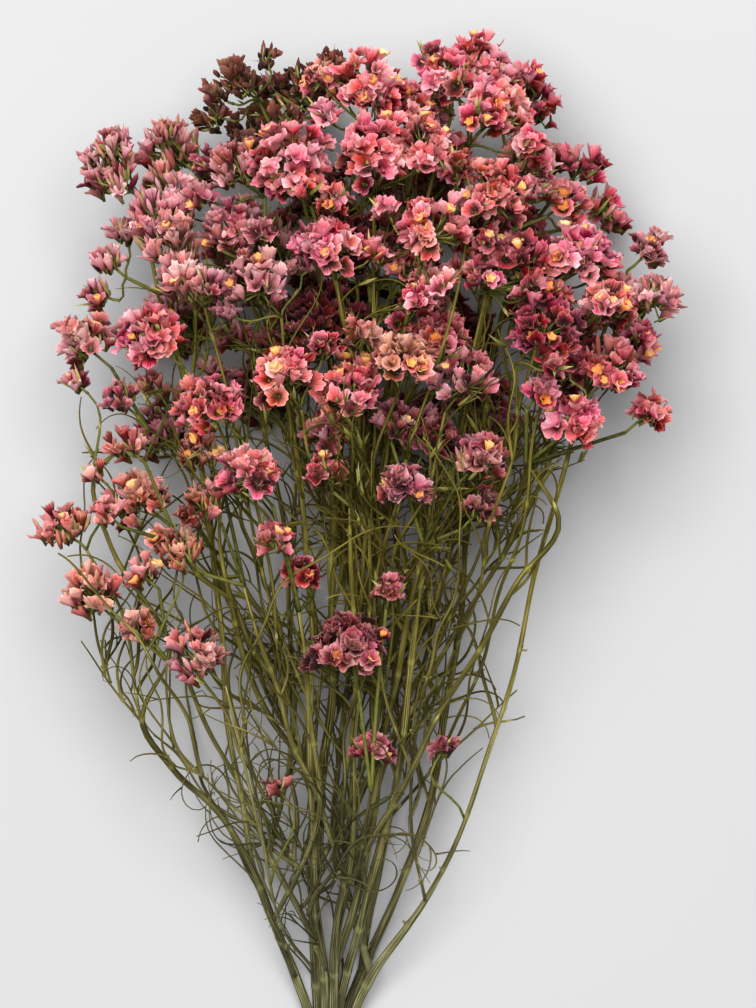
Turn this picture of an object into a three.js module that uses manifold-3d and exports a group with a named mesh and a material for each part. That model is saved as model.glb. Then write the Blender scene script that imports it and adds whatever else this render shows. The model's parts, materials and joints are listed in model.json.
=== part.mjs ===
// A bunch of dried statice lying on a table.
// Millimetres, +Z up. The stems run along +Y from their cut ends to the flowers, and the surface is z = 0.
// Eight cut stems fork again and again and carry dense, domed flower heads made of small frilled cups.
import * as THREE from "three";
import { mergeVertices } from "three/addons/utils/BufferGeometryUtils.js";
import Module from "manifold-3d";

const wasm = await Module();
wasm.setup();

// ---------------------------------------------------------------- driving dimensions

const NECK_X = -11; // where the stems are gathered most closely
const NECK_Y = 4;
const NECK_BEND = 20; // above the neck a stem turns outward halfway, and here the rest of the way
const CUT_Y = -78; // the cut ends
const NECK_PITCH = 4.6; // spacing of the stems at the neck
const NECK_FLOOR = 1.7; // height of the lowest row of stems there
const TRUNK_R = 2.15; // the thickest wood
const TWIG_R = 0.72; // a twig that carries one head
const FEED_POWER = 0.42; // wood that feeds more heads is thicker by this power of their number
const CLEAR = 1.1; // air kept between pieces while the branches are bent clear of each other
const SEAT_GAP = 0.3; // between a twig's tip and the head that sits on it
const AXIS_STEP = 34; // length of one straight run of a main stem
const BRANCH_STEP = 26; // of a branch
const STALK_STEP = 26; // and of a stalk
const CANOPY_MIDDLE = [4, 60]; // x and z of the bunch's middle line among the flowers
const MAIN_BOW = 2.6; // how far the main stems bow outward from the neck
const BRANCH_BOW = 3.6; // and the branches from their forks
const WIDEST_BOW = 1.2; // the most that either bows
const HANDLE = 0.38; // the handles of their curves, as a share of the reach
const FORK_ANGLE = 30; // degrees: a wider fork than this is avoided
const WIDE_COST = 3.5; // by this much
const SHORTEST_BRANCH = 24;
const LONG_SHARE = 0.8; // this share of the branches wants to be long
const LONG_BRANCH = [120, 230];
const SHORT_BRANCH = [36, 70];
const FORK_SEED = 8;
const FOOT = 1.12; // a head's foot lies this many radii below its middle
const FORK_DROP = 5; // the fork of a spray lies this far below its lowest head
const FORK_INWARD = 0.12; // and this share of the way in to the bunch's middle
const CUT_SPREAD = 1.12; // the cut ends splay by this much from the neck
const CUT_STAGGER = [3, -4, 0, 5, -2, 2, -5, 1]; // no two stems are cut to quite the same length
const KEPT_BEND = 0.9; // wood is eased until this share of its own bend is left,
const EASING = 0.12; // by this much in each round
const ROUNDS = 90;
const LAST_ROUNDS = 14; // the last of them push without easing
const LOAD_COST = 3; // mm of reach worth giving up to spare a stem one more head
const FORK_ROOT = 0.6; // the stalks of a spray start this far below its fork, inside each other
const STERILE_R = 0.62; // a bare twig
const TWIGS = 36; // bare twigs and their prongs
const TWIG_ROOM = 0.5; // air round each bare twig
const TWIG_TRIES = 900;
const TWIGS_FROM = 5; // they leave the wood between these places along the bunch
const TWIGS_TO = 190;
const TWIG_SEED = 4716;
const HEAD_SEED = 90125;
const CORE = 0.35; // radius of a head's core, as a share of the head's own

const TONES = {
  coral: 0xe0736e,
  pink: 0xdb6684,
  magenta: 0xb34064,
  dusky: 0xb8707c,
  maroon: 0x6e2b33,
};
const STEM_GREEN = 0x7c7f45;

// Stems: place in the neck's cross-section [across, row], and the spray that ends the stem.
const STEMS = [
  { neck: [-1.5, 1], leader: "left_tip" },
  { neck: [-0.5, 1], leader: "left_shoulder" },
  { neck: [0, 2], leader: "front_crown" },
  { neck: [0.5, 1], leader: "right_crown" },
  { neck: [-1, 0], leader: "back_left_crown" },
  { neck: [0, 0], leader: "top" },
  { neck: [1, 0], leader: "back_right_crown" },
  { neck: [1.5, 1], leader: "right_tip" },
];

// Sprays: tone, then each flower head's middle [x, y, z] and radius.
const SPRAYS = {
  top: ["pink", [39.5, 336, 62, 11.5], [29, 333, 80, 8]],
  crown: ["coral", [1, 327, 82, 14]],
  crown_middle: ["coral", [20, 322, 58, 12], [21, 309, 88, 11]],
  back_right_crown: ["magenta", [59, 325, 45, 13], [76, 304, 48, 10], [83, 292, 30, 9]],
  back_left_crown: ["maroon", [-21, 330, 42, 11], [-38, 312, 36, 12], [-43, 333, 55, 9], [-26, 318, 70, 7.5]],
  left_tip: ["dusky", [-85, 302, 66, 11], [-86, 271, 62, 7]],
  left_crown: ["dusky", [-65, 309, 50, 12]],
  left_shoulder: ["dusky", [-41, 300, 82, 11], [-44, 278, 84, 11]],
  front_left_crown: ["pink", [-24, 299, 100, 14]],
  front_crown: ["pink", [4, 302, 107, 14]],
  right_crown: ["coral", [44, 318, 92, 13]],
  right_shoulder: ["pink", [57, 304, 76, 11], [69, 292, 63, 7.5]],
  front_right: ["coral", [43, 290, 104, 13]],
  front_middle: ["coral", [23, 277, 113, 12], [22, 261, 99, 9]],
  front_left: ["pink", [-12, 273, 108, 13]],
  left_side: ["dusky", [-69, 283, 76, 12]],
  left_buds: ["dusky", [-60, 262, 94, 10]],
  front_left_low: ["dusky", [-34, 260, 98, 12]],
  heart: ["maroon", [6, 275, 74, 13]],
  right_dark: ["magenta", [51, 269, 90, 13]],
  right_side: ["pink", [75, 271, 76, 13]],
  right_tip: ["dusky", [98, 275, 62, 9], [99, 257, 70, 11]],
  right_low: ["pink", [81, 254, 94, 11]],
  front_right_low: ["magenta", [60, 245, 104, 13]],
  right_hang: ["pink", [93, 243, 50, 9], [85, 233, 78, 11]],
  right_foot: ["pink", [71, 216, 84, 11], [96, 219, 66, 8], [60, 226, 95, 7]],
  middle_low: ["coral", [25, 243, 80, 12]],
  front_bright: ["coral", [15, 236, 108, 12]],
  front_dull: ["dusky", [34, 228, 96, 11]],
  heart_low: ["maroon", [-17, 250, 72, 12]],
  band_left: ["coral", [-26, 230, 108, 13]],
  band_middle: ["coral", [-4, 225, 98, 11], [-11, 213, 76, 10], [-12, 199, 88, 7]],
  band_far_left: ["magenta", [-49, 220, 96, 13]],
  side_bright: ["pink", [-69, 243, 88, 12]],
  side_tip: ["pink", [-94, 243, 70, 11], [-82, 224, 70, 7]],
  chain: ["dusky", [-55, 205, 76, 9], [-53, 188, 88, 8], [-60, 172, 84, 9]],
  front_foot: ["pink", [-37, 197, 100, 12], [-29, 177, 94, 7], [-21, 165, 78, 8]],
  left_low: ["dusky", [-75, 190, 62, 12], [-79, 208, 74, 7], [-86, 186, 80, 6.5]],
  middle_dark: ["dusky", [23, 211, 70, 11], [39, 203, 84, 11], [40, 187, 70, 8], [11, 216, 84, 6.5]],
  middle_foot: ["magenta", [14, 194, 90, 11]],
  left_out: ["dusky", [-101, 180, 66, 9]],
  left_foot: ["pink", [-91, 157, 72, 11], [-75, 146, 76, 7], [-74, 165, 72, 6.5]],
  low_front: ["magenta", [-4, 140, 82, 14], [9, 160, 74, 6], [4, 105, 62, 8]],
  low_left: ["pink", [-55, 136, 78, 11]],
  under_crown: ["maroon", [23, 296, 10, 13], [-13, 294, 10, 13]],
  under_right: ["magenta", [52, 282, 30, 12], [68, 246, 34, 12]],
  under_left: ["dusky", [-42, 272, 30, 12], [-66, 255, 36, 11]],
  under_middle: ["maroon", [28, 250, 9.5, 12], [-10, 252, 9.5, 12]],
  under_left_low: ["dusky", [-34, 224, 9.5, 12]],
  under_low: ["dusky", [8, 216, 30, 12]],
  under_right_low: ["magenta", [46, 214, 9.5, 12]],
  under_far_left: ["dusky", [-70, 213, 34, 11]],
};

// Long branches that swing out wide on their way: the places they pass.
const SWINGS = {
  left_foot: [[-48, 84, 44], [-76, 110, 62]],
  side_tip: [[-68, 148, 58], [-91, 196, 66]],
  right_foot: [[48, 154, 66], [72, 188, 74]],
};

// ---------------------------------------------------------------- small helpers

const vec = (x, y, z) => new THREE.Vector3(x, y, z);
const UP_THE_BUNCH = vec(0, 1, 0);

// Park and Miller's generator, so that every build draws the same numbers.
function drawsFrom(seed) {
  let state = seed;
  return (low, high) => {
    state = (state * 16807) % 2147483647;
    return low + ((high - low) * state) / 2147483647;
  };
}

// Nearest points of two segments, as shares s and t along them.
function nearestShares(a, b, c, d) {
  const u = b.clone().sub(a);
  const v = d.clone().sub(c);
  const w = a.clone().sub(c);
  const uu = u.dot(u);
  const vv = v.dot(v);
  const uv = u.dot(v);
  const uw = u.dot(w);
  const vw = v.dot(w);
  const det = uu * vv - uv * uv;
  const clamp = THREE.MathUtils.clamp;
  let s = det > 1e-9 ? clamp((uv * vw - vv * uw) / det, 0, 1) : 0.5;
  const t = clamp((uv * s + vw) / vv, 0, 1);
  s = clamp((uv * t - uw) / uu, 0, 1);
  return [s, t];
}

function distanceApart(a, b, c, d) {
  const [s, t] = nearestShares(a, b, c, d);
  return a.clone().lerp(b, s).distanceTo(c.clone().lerp(d, t));
}

// ---------------------------------------------------------------- where the heads stand

// A head faces up the bunch and out from its middle line.
function facing(x, z) {
  const out = vec(x - CANOPY_MIDDLE[0], 0, z - CANOPY_MIDDLE[1]).divideScalar(45);
  out.clampLength(0, 1);
  return out.multiplyScalar(0.95).add(vec(0, 0.8, 0)).normalize();
}

// foot is the point under a head, or under all the heads of a spray, where the stem's twig ends.
function makeSprays() {
  return Object.entries(SPRAYS).map(([name, [tone, ...places]]) => {
    const heads = places.map(([x, y, z, radius]) => {
      const middle = vec(x, y, z);
      const axis = facing(x, z);
      return { middle, radius, axis, foot: middle.clone().addScaledVector(axis, -FOOT * radius) };
    });
    const axis = heads.reduce((sum, head) => sum.add(head.axis), vec(0, 0, 0)).normalize();
    return { name, tone, heads, axis, foot: sprayFoot(heads) };
  });
}

// One head stands on its own foot. Several share a fork below and behind them.
function sprayFoot(heads) {
  if (heads.length === 1) return heads[0].foot.clone();
  const foot = heads
    .reduce((sum, head) => sum.add(head.foot), vec(0, 0, 0))
    .divideScalar(heads.length);
  foot.y = Math.min(...heads.map((head) => head.foot.y)) - FORK_DROP;
  foot.x += (CANOPY_MIDDLE[0] - foot.x) * FORK_INWARD;
  foot.z += (CANOPY_MIDDLE[1] - foot.z) * FORK_INWARD;
  return foot;
}

// ---------------------------------------------------------------- the branching

// The wood is a list of points. Each knows the point it grew from, the piece it belongs to (a stem's
// number, or a spray's name beyond that spray's fork) and the number of heads it feeds.
function addRun(wood, owner, start, places) {
  const run = [start];
  for (const p of places) {
    wood.push({ p, parent: run.at(-1), owner, feeds: 0, fixed: false });
    run.push(wood.length - 1);
  }
  return run;
}

function swingPlaces(from, passing, to, step) {
  const curve = new THREE.CatmullRomCurve3([from, ...passing, to], false, "centripetal");
  const count = Math.round(curve.getLength() / step);
  return Array.from({ length: count }, (_, i) => curve.getPointAt((i + 1) / count));
}

function curvePlaces(from, leaving, to, arriving, step, fewest = 2) {
  const reach = from.distanceTo(to);
  const curve = new THREE.CubicBezierCurve3(
    from,
    from.clone().addScaledVector(leaving, reach * HANDLE),
    to.clone().addScaledVector(arriving, -reach * HANDLE),
    to
  );
  const count = Math.max(fewest, Math.round(reach / step));
  return Array.from({ length: count }, (_, i) => curve.getPoint((i + 1) / count));
}

const growingAt = (wood, i) => wood[i].p.clone().sub(wood[wood[i].parent].p).normalize();

// A branch bows outward as it leaves, by more than the straight way to its end would ask.
function bowedOut(growing, way, bow) {
  const aside = way.clone().addScaledVector(growing, -way.dot(growing)).divideScalar(way.length());
  return aside.multiplyScalar(bow).clampLength(0, WIDEST_BOW).add(growing).normalize();
}

function growMainStem(wood, number, leader) {
  const [across, row] = STEMS[number].neck;
  const height = NECK_FLOOR + row * NECK_PITCH * Math.sin(Math.PI / 3);
  const neck = vec(NECK_X + across * NECK_PITCH, NECK_Y, height);
  const cut = vec(NECK_X + across * NECK_PITCH * CUT_SPREAD, CUT_Y + CUT_STAGGER[number], height);
  wood.push({ p: cut, parent: -1, owner: number, feeds: 0, fixed: true, stout: true });
  const [root, gathered] = addRun(wood, number, wood.length - 1, [neck]);
  Object.assign(wood[gathered], { fixed: true, stout: true });
  const growing = growingAt(wood, gathered);
  const leaving = bowedOut(growing, leader.foot.clone().sub(neck), MAIN_BOW);
  const bend = neck.clone().addScaledVector(growing.add(leaving).normalize(), NECK_BEND);
  const arriving = leader.axis.clone().lerp(UP_THE_BUNCH, 0.6).normalize();
  const rest = curvePlaces(bend, leaving, leader.foot, arriving, AXIS_STEP);
  return [root, ...addRun(wood, number, gathered, [bend, ...rest])];
}

// The best place for a fork is as far back as the branch wants to be long, and lets it leave at a
// narrow angle. A stem that already carries many heads is passed over for its neighbour.
function forkFor(wood, end, load, wanted) {
  let best = -1;
  let least = Infinity;
  wood.forEach((point, i) => {
    if (point.fixed || point.ends || typeof point.owner !== "number") return;
    const way = end.clone().sub(point.p);
    const reach = way.length();
    const angle = THREE.MathUtils.radToDeg(way.angleTo(growingAt(wood, i)));
    const tooWide = Math.max(0, angle - FORK_ANGLE) / FORK_ANGLE;
    const tooShort = reach < SHORTEST_BRANCH ? 200 : 0;
    const cost =
      Math.abs(reach - wanted) + reach * tooWide * WIDE_COST + tooShort + load[point.owner] * LOAD_COST;
    if (cost < least) {
      least = cost;
      best = i;
    }
  });
  return best;
}

function growBranch(wood, spray, load, draws) {
  const passing = (SWINGS[spray.name] ?? []).map((place) => vec(...place));
  const wanted = draws(0, 1) < LONG_SHARE ? draws(...LONG_BRANCH) : draws(...SHORT_BRANCH);
  const fork = forkFor(wood, passing[0] ?? spray.foot, load, wanted);
  const from = wood[fork];
  load[from.owner] += spray.heads.length;
  if (passing.length > 0) {
    return addRun(wood, from.owner, fork, swingPlaces(from.p, passing, spray.foot, BRANCH_STEP));
  }
  const way = spray.foot.clone().sub(from.p);
  const leaving = bowedOut(growingAt(wood, fork), way, BRANCH_BOW);
  const arriving = spray.axis.clone().multiplyScalar(0.4).add(way.normalize().multiplyScalar(0.5));
  arriving.addScaledVector(UP_THE_BUNCH, 0.7);
  const places = curvePlaces(from.p, leaving, spray.foot, arriving.normalize(), BRANCH_STEP);
  return addRun(wood, from.owner, fork, places);
}

// Beyond the fork of a spray, one stalk runs to the foot of each of its heads.
function growStalks(wood, spray) {
  const fork = spray.branch.at(-1);
  if (spray.heads.length === 1) {
    wood[fork].fixed = true;
    return [];
  }
  return spray.heads.map((head) => {
    const way = head.foot.clone().sub(spray.foot).normalize();
    const places = curvePlaces(spray.foot, way, head.foot, head.axis, STALK_STEP, 1);
    const run = addRun(wood, spray.name, fork, places);
    wood[run.at(-1)].fixed = true;
    return run;
  });
}

function growWood(sprays) {
  const wood = [];
  const draws = drawsFrom(FORK_SEED);
  const load = STEMS.map(() => 0);
  STEMS.forEach((stem, number) => {
    const leader = sprays.find((spray) => spray.name === stem.leader);
    leader.branch = growMainStem(wood, number, leader);
    load[number] += leader.heads.length;
  });
  const distance = ({ foot }) =>
    Math.hypot(foot.x - CANOPY_MIDDLE[0], foot.z - CANOPY_MIDDLE[1]) - foot.y * 0.3;
  sprays.forEach((spray) => spray.branch && (wood[spray.branch.at(-1)].ends = true));
  const swings = ({ name }) => (SWINGS[name] ? 0 : 1);
  const waiting = sprays.filter((spray) => !spray.branch);
  waiting.sort((a, b) => swings(a) - swings(b) || distance(a) - distance(b));
  for (const spray of waiting) {
    spray.branch = growBranch(wood, spray, load, draws);
    wood[spray.branch.at(-1)].ends = true;
  }
  for (const spray of sprays) {
    spray.stalks = growStalks(wood, spray);
    for (let i = spray.branch.at(-1); i >= 0; i = wood[i].parent) {
      wood[i].feeds += spray.heads.length;
    }
  }
  return wood;
}

function thickness(point) {
  if (point.stout) return TRUNK_R;
  return Math.min(TRUNK_R, TWIG_R * Math.max(1, point.feeds) ** FEED_POWER);
}

// ---------------------------------------------------------------- bending clear

const shareNearest = (a, b, p) => {
  const along = b.clone().sub(a);
  return THREE.MathUtils.clamp(p.clone().sub(a).dot(along) / along.lengthSq(), 0, 1);
};

// How far one straight run of wood is from being clear of another, and which way apart they go.
function runsTooNear(wood, i, j) {
  const [b, d] = [wood[i], wood[j]];
  if (b.owner === d.owner || b.parent === j || d.parent === i) return null;
  const [a, c] = [wood[b.parent], wood[d.parent]];
  if (Math.abs(a.p.y + b.p.y - c.p.y - d.p.y) > 3 * AXIS_STEP) return null;
  const [s, t] = nearestShares(a.p, b.p, c.p, d.p);
  const apart = a.p.clone().lerp(b.p, s).sub(c.p.clone().lerp(d.p, t));
  const short = thickness(a) + thickness(c) + CLEAR - apart.length();
  return short > 0 ? { s, t, short, apart: apart.normalize() } : null;
}

function headTooNear(wood, i, head) {
  const [a, b] = [wood[wood[i].parent], wood[i]];
  const s = shareNearest(a.p, b.p, head.middle);
  const apart = a.p.clone().lerp(b.p, s).sub(head.middle);
  const short = head.radius + thickness(a) + CLEAR * 0.7 - apart.length();
  return short > 0 ? { s, short, apart: apart.normalize() } : null;
}

// How far each point stands out from the straight line between its neighbours.
function offsets(wood, nextOf) {
  return wood.map(({ p, parent }, i) => {
    if (parent < 0 || nextOf[i] === undefined) return null;
    return p.clone().sub(wood[parent].p.clone().lerp(wood[nextOf[i]].p, 0.5));
  });
}

// Wood of different pieces, and wood and heads, are pushed apart a little at a time and then eased.
function bendClear(wood, sprays) {
  const runs = wood.map((point, i) => i).filter((i) => wood[i].parent >= 0);
  const nextOf = wood.map((point, i) => runs.find((j) => wood[j].parent === i));
  const bends = offsets(wood, nextOf);
  const heads = sprays.flatMap((spray) =>
    spray.heads.map((head) => ({ ...head, owner: spray.name, seat: spray.branch.at(-1) }))
  );
  for (let round = 0; round < ROUNDS; round++) {
    const push = wood.map(() => vec(0, 0, 0));
    runs.forEach((i, n) => {
      for (const j of runs.slice(n + 1)) {
        const near = runsTooNear(wood, i, j);
        if (!near) continue;
        push[wood[i].parent].addScaledVector(near.apart, near.short * 0.5 * (1 - near.s));
        push[i].addScaledVector(near.apart, near.short * 0.5 * near.s);
        push[wood[j].parent].addScaledVector(near.apart, -near.short * 0.5 * (1 - near.t));
        push[j].addScaledVector(near.apart, -near.short * 0.5 * near.t);
      }
      for (const head of heads) {
        if (head.owner === wood[i].owner || head.seat === i) continue;
        const near = headTooNear(wood, i, head);
        if (!near) continue;
        push[wood[i].parent].addScaledVector(near.apart, near.short * (1 - near.s));
        push[i].addScaledVector(near.apart, near.short * near.s);
      }
    });
    if (round < ROUNDS - LAST_ROUNDS) {
      offsets(wood, nextOf).forEach((offset, i) => {
        if (offset) push[i].addScaledVector(bends[i], KEPT_BEND * EASING).addScaledVector(offset, -EASING);
      });
    }
    wood.forEach((point, i) => {
      if (point.fixed) return;
      point.p.add(push[i].clampLength(0, 1.5));
      point.p.z = Math.max(point.p.z, thickness(point) + 0.4);
    });
  }
}

// ---------------------------------------------------------------- solids

// A closed, tapered tube through the points, with few sides. Its first ring stands square to leaving.
function tube(points, radii, sides, leaving) {
  const positions = [];
  const faces = [];
  const across = vec(0.31, 0.13, 0.94);
  points.forEach((p, i) => {
    const before = points[Math.max(i - 1, 0)];
    const after = points[Math.min(i + 1, points.length - 1)];
    const along = (i === 0 && leaving ? leaving.clone() : after.clone().sub(before)).normalize();
    across.addScaledVector(along, -across.dot(along)).normalize();
    const side = along.clone().cross(across);
    for (let k = 0; k < sides; k++) {
      const turn = (2 * Math.PI * k) / sides;
      const rim = p.clone().addScaledVector(across, radii[i] * Math.cos(turn));
      rim.addScaledVector(side, radii[i] * Math.sin(turn));
      positions.push(...rim);
    }
  });
  const at = (ring, k) => ring * sides + (k % sides);
  for (let ring = 0; ring < points.length - 1; ring++) {
    for (let k = 0; k < sides; k++) {
      faces.push([at(ring, k), at(ring, k + 1), at(ring + 1, k + 1)]);
      faces.push([at(ring, k), at(ring + 1, k + 1), at(ring + 1, k)]);
    }
  }
  const last = points.length - 1;
  for (let k = 1; k < sides - 1; k++) {
    faces.push([at(0, 0), at(0, k + 1), at(0, k)]);
    faces.push([at(last, 0), at(last, k), at(last, k + 1)]);
  }
  return solid(positions, faces);
}

function solid(positions, faces) {
  return new wasm.Manifold(
    new wasm.Mesh({
      numProp: 3,
      vertProperties: new Float32Array(positions),
      triVerts: new Uint32Array(faces.flat()),
    })
  );
}

// A core's corners and faces. Corner 0 points straight down, and the faces come from the top down.
function coreFrom(geometry) {
  geometry.deleteAttribute("normal");
  geometry.deleteAttribute("uv");
  const { attributes, index } = mergeVertices(geometry);
  const corners = [];
  for (let i = 0; i < attributes.position.count; i++) {
    corners.push(vec(0, 0, 0).fromBufferAttribute(attributes.position, i));
  }
  const turn = new THREE.Quaternion().setFromUnitVectors(corners[0].clone(), vec(0, 0, -1));
  corners.forEach((corner) => corner.applyQuaternion(turn));
  const faces = [];
  for (let i = 0; i < index.count; i += 3) {
    faces.push([index.getX(i), index.getX(i + 1), index.getX(i + 2)]);
  }
  const height = (face) => Math.round(100 * face.reduce((sum, corner) => sum + corners[corner].z, 0));
  return { corners, faces: faces.sort((a, b) => height(b) - height(a)) };
}

const TWENTY_SIDED = coreFrom(new THREE.IcosahedronGeometry(1));
const EIGHT_SIDED = coreFrom(new THREE.OctahedronGeometry(1));

// Draws a face of the core out into an open cup. Its mouth has five lobes, with or without notches
// between them.
function addCup(corners, face, cup, draws) {
  const [a, b, c] = face.map((corner) => corners[corner].clone());
  const out = a.clone().add(b).add(c).normalize();
  const across = a.clone().addScaledVector(out, -a.dot(out)).normalize();
  const side = out.clone().cross(across);
  const spin = draws(0, 24);
  const rimPoint = (degrees, wide, reach) => {
    const turn = THREE.MathUtils.degToRad(degrees);
    const p = out.clone().multiplyScalar(reach).addScaledVector(across, wide * Math.cos(turn));
    return corners.push(p.addScaledVector(side, wide * Math.sin(turn))) - 1;
  };
  const lobes = [0, 1, 2, 3, 4].map((k) =>
    rimPoint(spin + 72 * k, cup.mouth * draws(0.92, 1), cup.reach * draws(0.95, 1))
  );
  const lobe = (k) => lobes[((k % 5) + 5) % 5];
  const floor = rimPoint(0, 0, cup.reach - cup.depth);
  const faces = [0, 1, 2].map((k) => [
    face[k],
    face[(k + 1) % 3],
    lobe(Math.round((60 + 120 * k - spin) / 72)),
  ]);
  for (let k = 0; k < 5; k++) {
    const base = face[Math.round((spin + 72 * k + 36) / 120) % 3];
    faces.push([base, lobe(k + 1), lobe(k)]);
    if (!cup.notched) {
      faces.push([floor, lobe(k), lobe(k + 1)]);
      continue;
    }
    const notch = rimPoint(spin + 72 * k + 36, cup.mouth * draws(0.54, 0.64), cup.reach * 0.93);
    faces.push([lobe(k), lobe(k + 1), notch], [floor, lobe(k), notch], [floor, notch, lobe(k + 1)]);
  }
  return faces;
}

// A flower head: open cups over its upper side, buds round its lower side, and its foot drawn down.
// A small head has four cups and the others ten. Some of the cups are notched.
function flowerHead(head, draws) {
  const { radius } = head;
  const small = radius < 10;
  const { corners, faces } = small ? EIGHT_SIDED : TWENTY_SIDED;
  const open = small ? 4 : 10;
  const notched = radius < 8 ? 0 : small ? 4 : radius < 13 ? 0 : 4;
  const buds = small ? 8 : 15;
  const points = corners.map((corner) => corner.clone().multiplyScalar(CORE * radius));
  points[0].set(0, 0, -FOOT * radius);
  const skin = faces.flatMap((face, n) => {
    if (n < open) {
      const reach = radius * (small ? draws(0.8, 0.86) : draws(0.86, 0.93));
      const mouth = reach * (small ? draws(0.46, 0.52) : draws(0.34, 0.37));
      return addCup(points, face, { reach, mouth, depth: 0.25 * radius, notched: n < notched }, draws);
    }
    if (n >= buds || small) return [face];
    const out = face.reduce((sum, corner) => sum.add(points[corner]), vec(0, 0, 0)).normalize();
    const tip = points.push(out.multiplyScalar(radius * draws(0.66, 0.86))) - 1;
    return [0, 1, 2].map((k) => [face[k], face[(k + 1) % 3], tip]);
  });
  const upright = new THREE.Quaternion().setFromUnitVectors(vec(0, 0, 1), head.axis);
  const spin = new THREE.Quaternion().setFromAxisAngle(vec(0, 0, 1), draws(0, 2 * Math.PI));
  const squash = vec(draws(0.9, 1), draws(0.9, 1), 1);
  points.forEach((p) => p.applyQuaternion(spin).multiply(squash).applyQuaternion(upright).add(head.middle));
  return solid(points.flatMap((p) => [...p]), skin);
}

// ---------------------------------------------------------------- bare twigs

function isClear(places, owner, wood, heads, grown) {
  const room = STERILE_R + TWIG_ROOM;
  return places.slice(1).every((to, k) => {
    const from = places[k];
    const inReach = (a, b, radius) => distanceApart(from, to, a, b) < radius + room;
    if (to.z < 2) return false;
    if (heads.some(({ middle, foot, radius }) => inReach(middle, middle.clone().lerp(foot, 0.1), radius))) {
      return false;
    }
    const otherWood = wood.filter((point) => point.owner !== owner && point.parent >= 0);
    if (otherWood.some((point) => inReach(wood[point.parent].p, point.p, thickness(wood[point.parent])))) {
      return false;
    }
    const otherTwigs = grown.filter((twigs, stem) => stem !== owner).flat();
    return !otherTwigs.some((twig) => twig.slice(1).some((end, n) => inReach(twig[n], end, STERILE_R)));
  });
}

// Bare forked twigs leave the lower branches wherever there is room for them.
function growTwigs(wood, sprays) {
  const draws = drawsFrom(TWIG_SEED);
  const grown = STEMS.map(() => []);
  const heads = sprays.flatMap((spray) => spray.heads);
  const bases = wood.filter(
    ({ p, owner, ends, parent }) =>
      typeof owner === "number" && !ends && parent >= 0 && p.y > TWIGS_FROM && p.y < TWIGS_TO
  );
  for (let tries = 0; tries < TWIG_TRIES && grown.flat().length < TWIGS; tries++) {
    const { p, owner, parent } = bases[Math.floor(draws(0, bases.length - 0.001))];
    const along = p.clone().sub(wood[parent].p).normalize();
    const aside = vec(draws(-1, 1), draws(-0.3, 0.6), draws(-1, 1)).normalize();
    const length = draws(22, 58);
    const leaving = along.clone().multiplyScalar(0.8).addScaledVector(aside, 0.75).normalize();
    const arriving = along.clone().multiplyScalar(0.4).addScaledVector(aside, draws(-0.3, 0.8)).normalize();
    const tip = p.clone().addScaledVector(leaving, length * 0.55).addScaledVector(arriving, length * 0.45);
    const twig = [p.clone(), ...curvePlaces(p, leaving, tip, arriving, length / 2)];
    if (!isClear(twig, owner, wood, heads, grown)) continue;
    grown[owner].push(twig);
    const prong = aside.clone().cross(along).normalize().multiplyScalar(draws(-0.8, 0.8)).add(leaving);
    const side = [twig[1].clone(), twig[1].clone().addScaledVector(prong.normalize(), length * 0.45)];
    if (isClear(side, owner, wood, heads, grown)) grown[owner].push(side);
  }
  return grown;
}

// ---------------------------------------------------------------- pieces

function joined(solids) {
  const whole = wasm.Manifold.union(solids);
  return whole.trimByPlane([0, 0, 1], 0).simplify(0.1);
}

// The tube along one run of wood. It starts inside what it grew from, and stops short of a seat.
function woodTube(wood, run, stopShort) {
  const points = run.map((i) => wood[i].p.clone());
  const radii = run.map((i) => thickness(wood[i]));
  if (wood[run[0]].parent >= 0) radii[0] = Math.min(radii[0], radii[1]) * 0.8;
  const end = points.at(-1);
  const back = points.at(-2).clone().sub(end).normalize();
  end.addScaledVector(back, stopShort);
  const sides = radii[1] > 1.5 ? 5 : 3;
  return tube(points, radii, sides);
}

function stemSolid(wood, sprays, twigs, number) {
  const carried = sprays.filter((spray) => wood[spray.branch.at(-1)].owner === number);
  const tubes = carried.map((spray) => woodTube(wood, spray.branch, seatGap(spray)));
  const bare = twigs[number].map((twig) =>
    tube(twig, twig.map((_, k) => STERILE_R * (k === twig.length - 1 ? 0.75 : 1)), 3)
  );
  return joined([...tubes, ...bare]);
}

const seatGap = (spray) => SEAT_GAP + (spray.heads.length > 1 ? FORK_ROOT + TWIG_R * 0.6 : 0);

// A spray of several heads is held together by their stalks, which part at its fork.
function spraySolid(wood, spray, draws) {
  const heads = spray.heads.map((head) => flowerHead(head, draws));
  const stalks = spray.stalks.map((run, n) => {
    const { middle, axis, radius } = spray.heads[n];
    const points = run.map((i) => wood[i].p.clone());
    points[0].addScaledVector(spray.axis, -FORK_ROOT);
    points[points.length - 1].copy(middle).addScaledVector(axis, -0.45 * radius);
    return tube(points, points.map(() => TWIG_R), 3, spray.axis);
  });
  return joined([...heads, ...stalks]);
}

function meshOf(name, whole, colour, roughness) {
  const { vertProperties, triVerts } = whole.getMesh();
  const geometry = new THREE.BufferGeometry();
  geometry.setAttribute("position", new THREE.BufferAttribute(new Float32Array(vertProperties), 3));
  geometry.setIndex(new THREE.BufferAttribute(new Uint32Array(triVerts), 1));
  geometry.computeVertexNormals();
  const material = new THREE.MeshStandardMaterial({ color: colour, roughness, metalness: 0 });
  const mesh = new THREE.Mesh(geometry, material);
  mesh.name = name;
  return mesh;
}

const sprays = makeSprays();
const wood = growWood(sprays);
bendClear(wood, sprays);
const twigs = growTwigs(wood, sprays);

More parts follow.
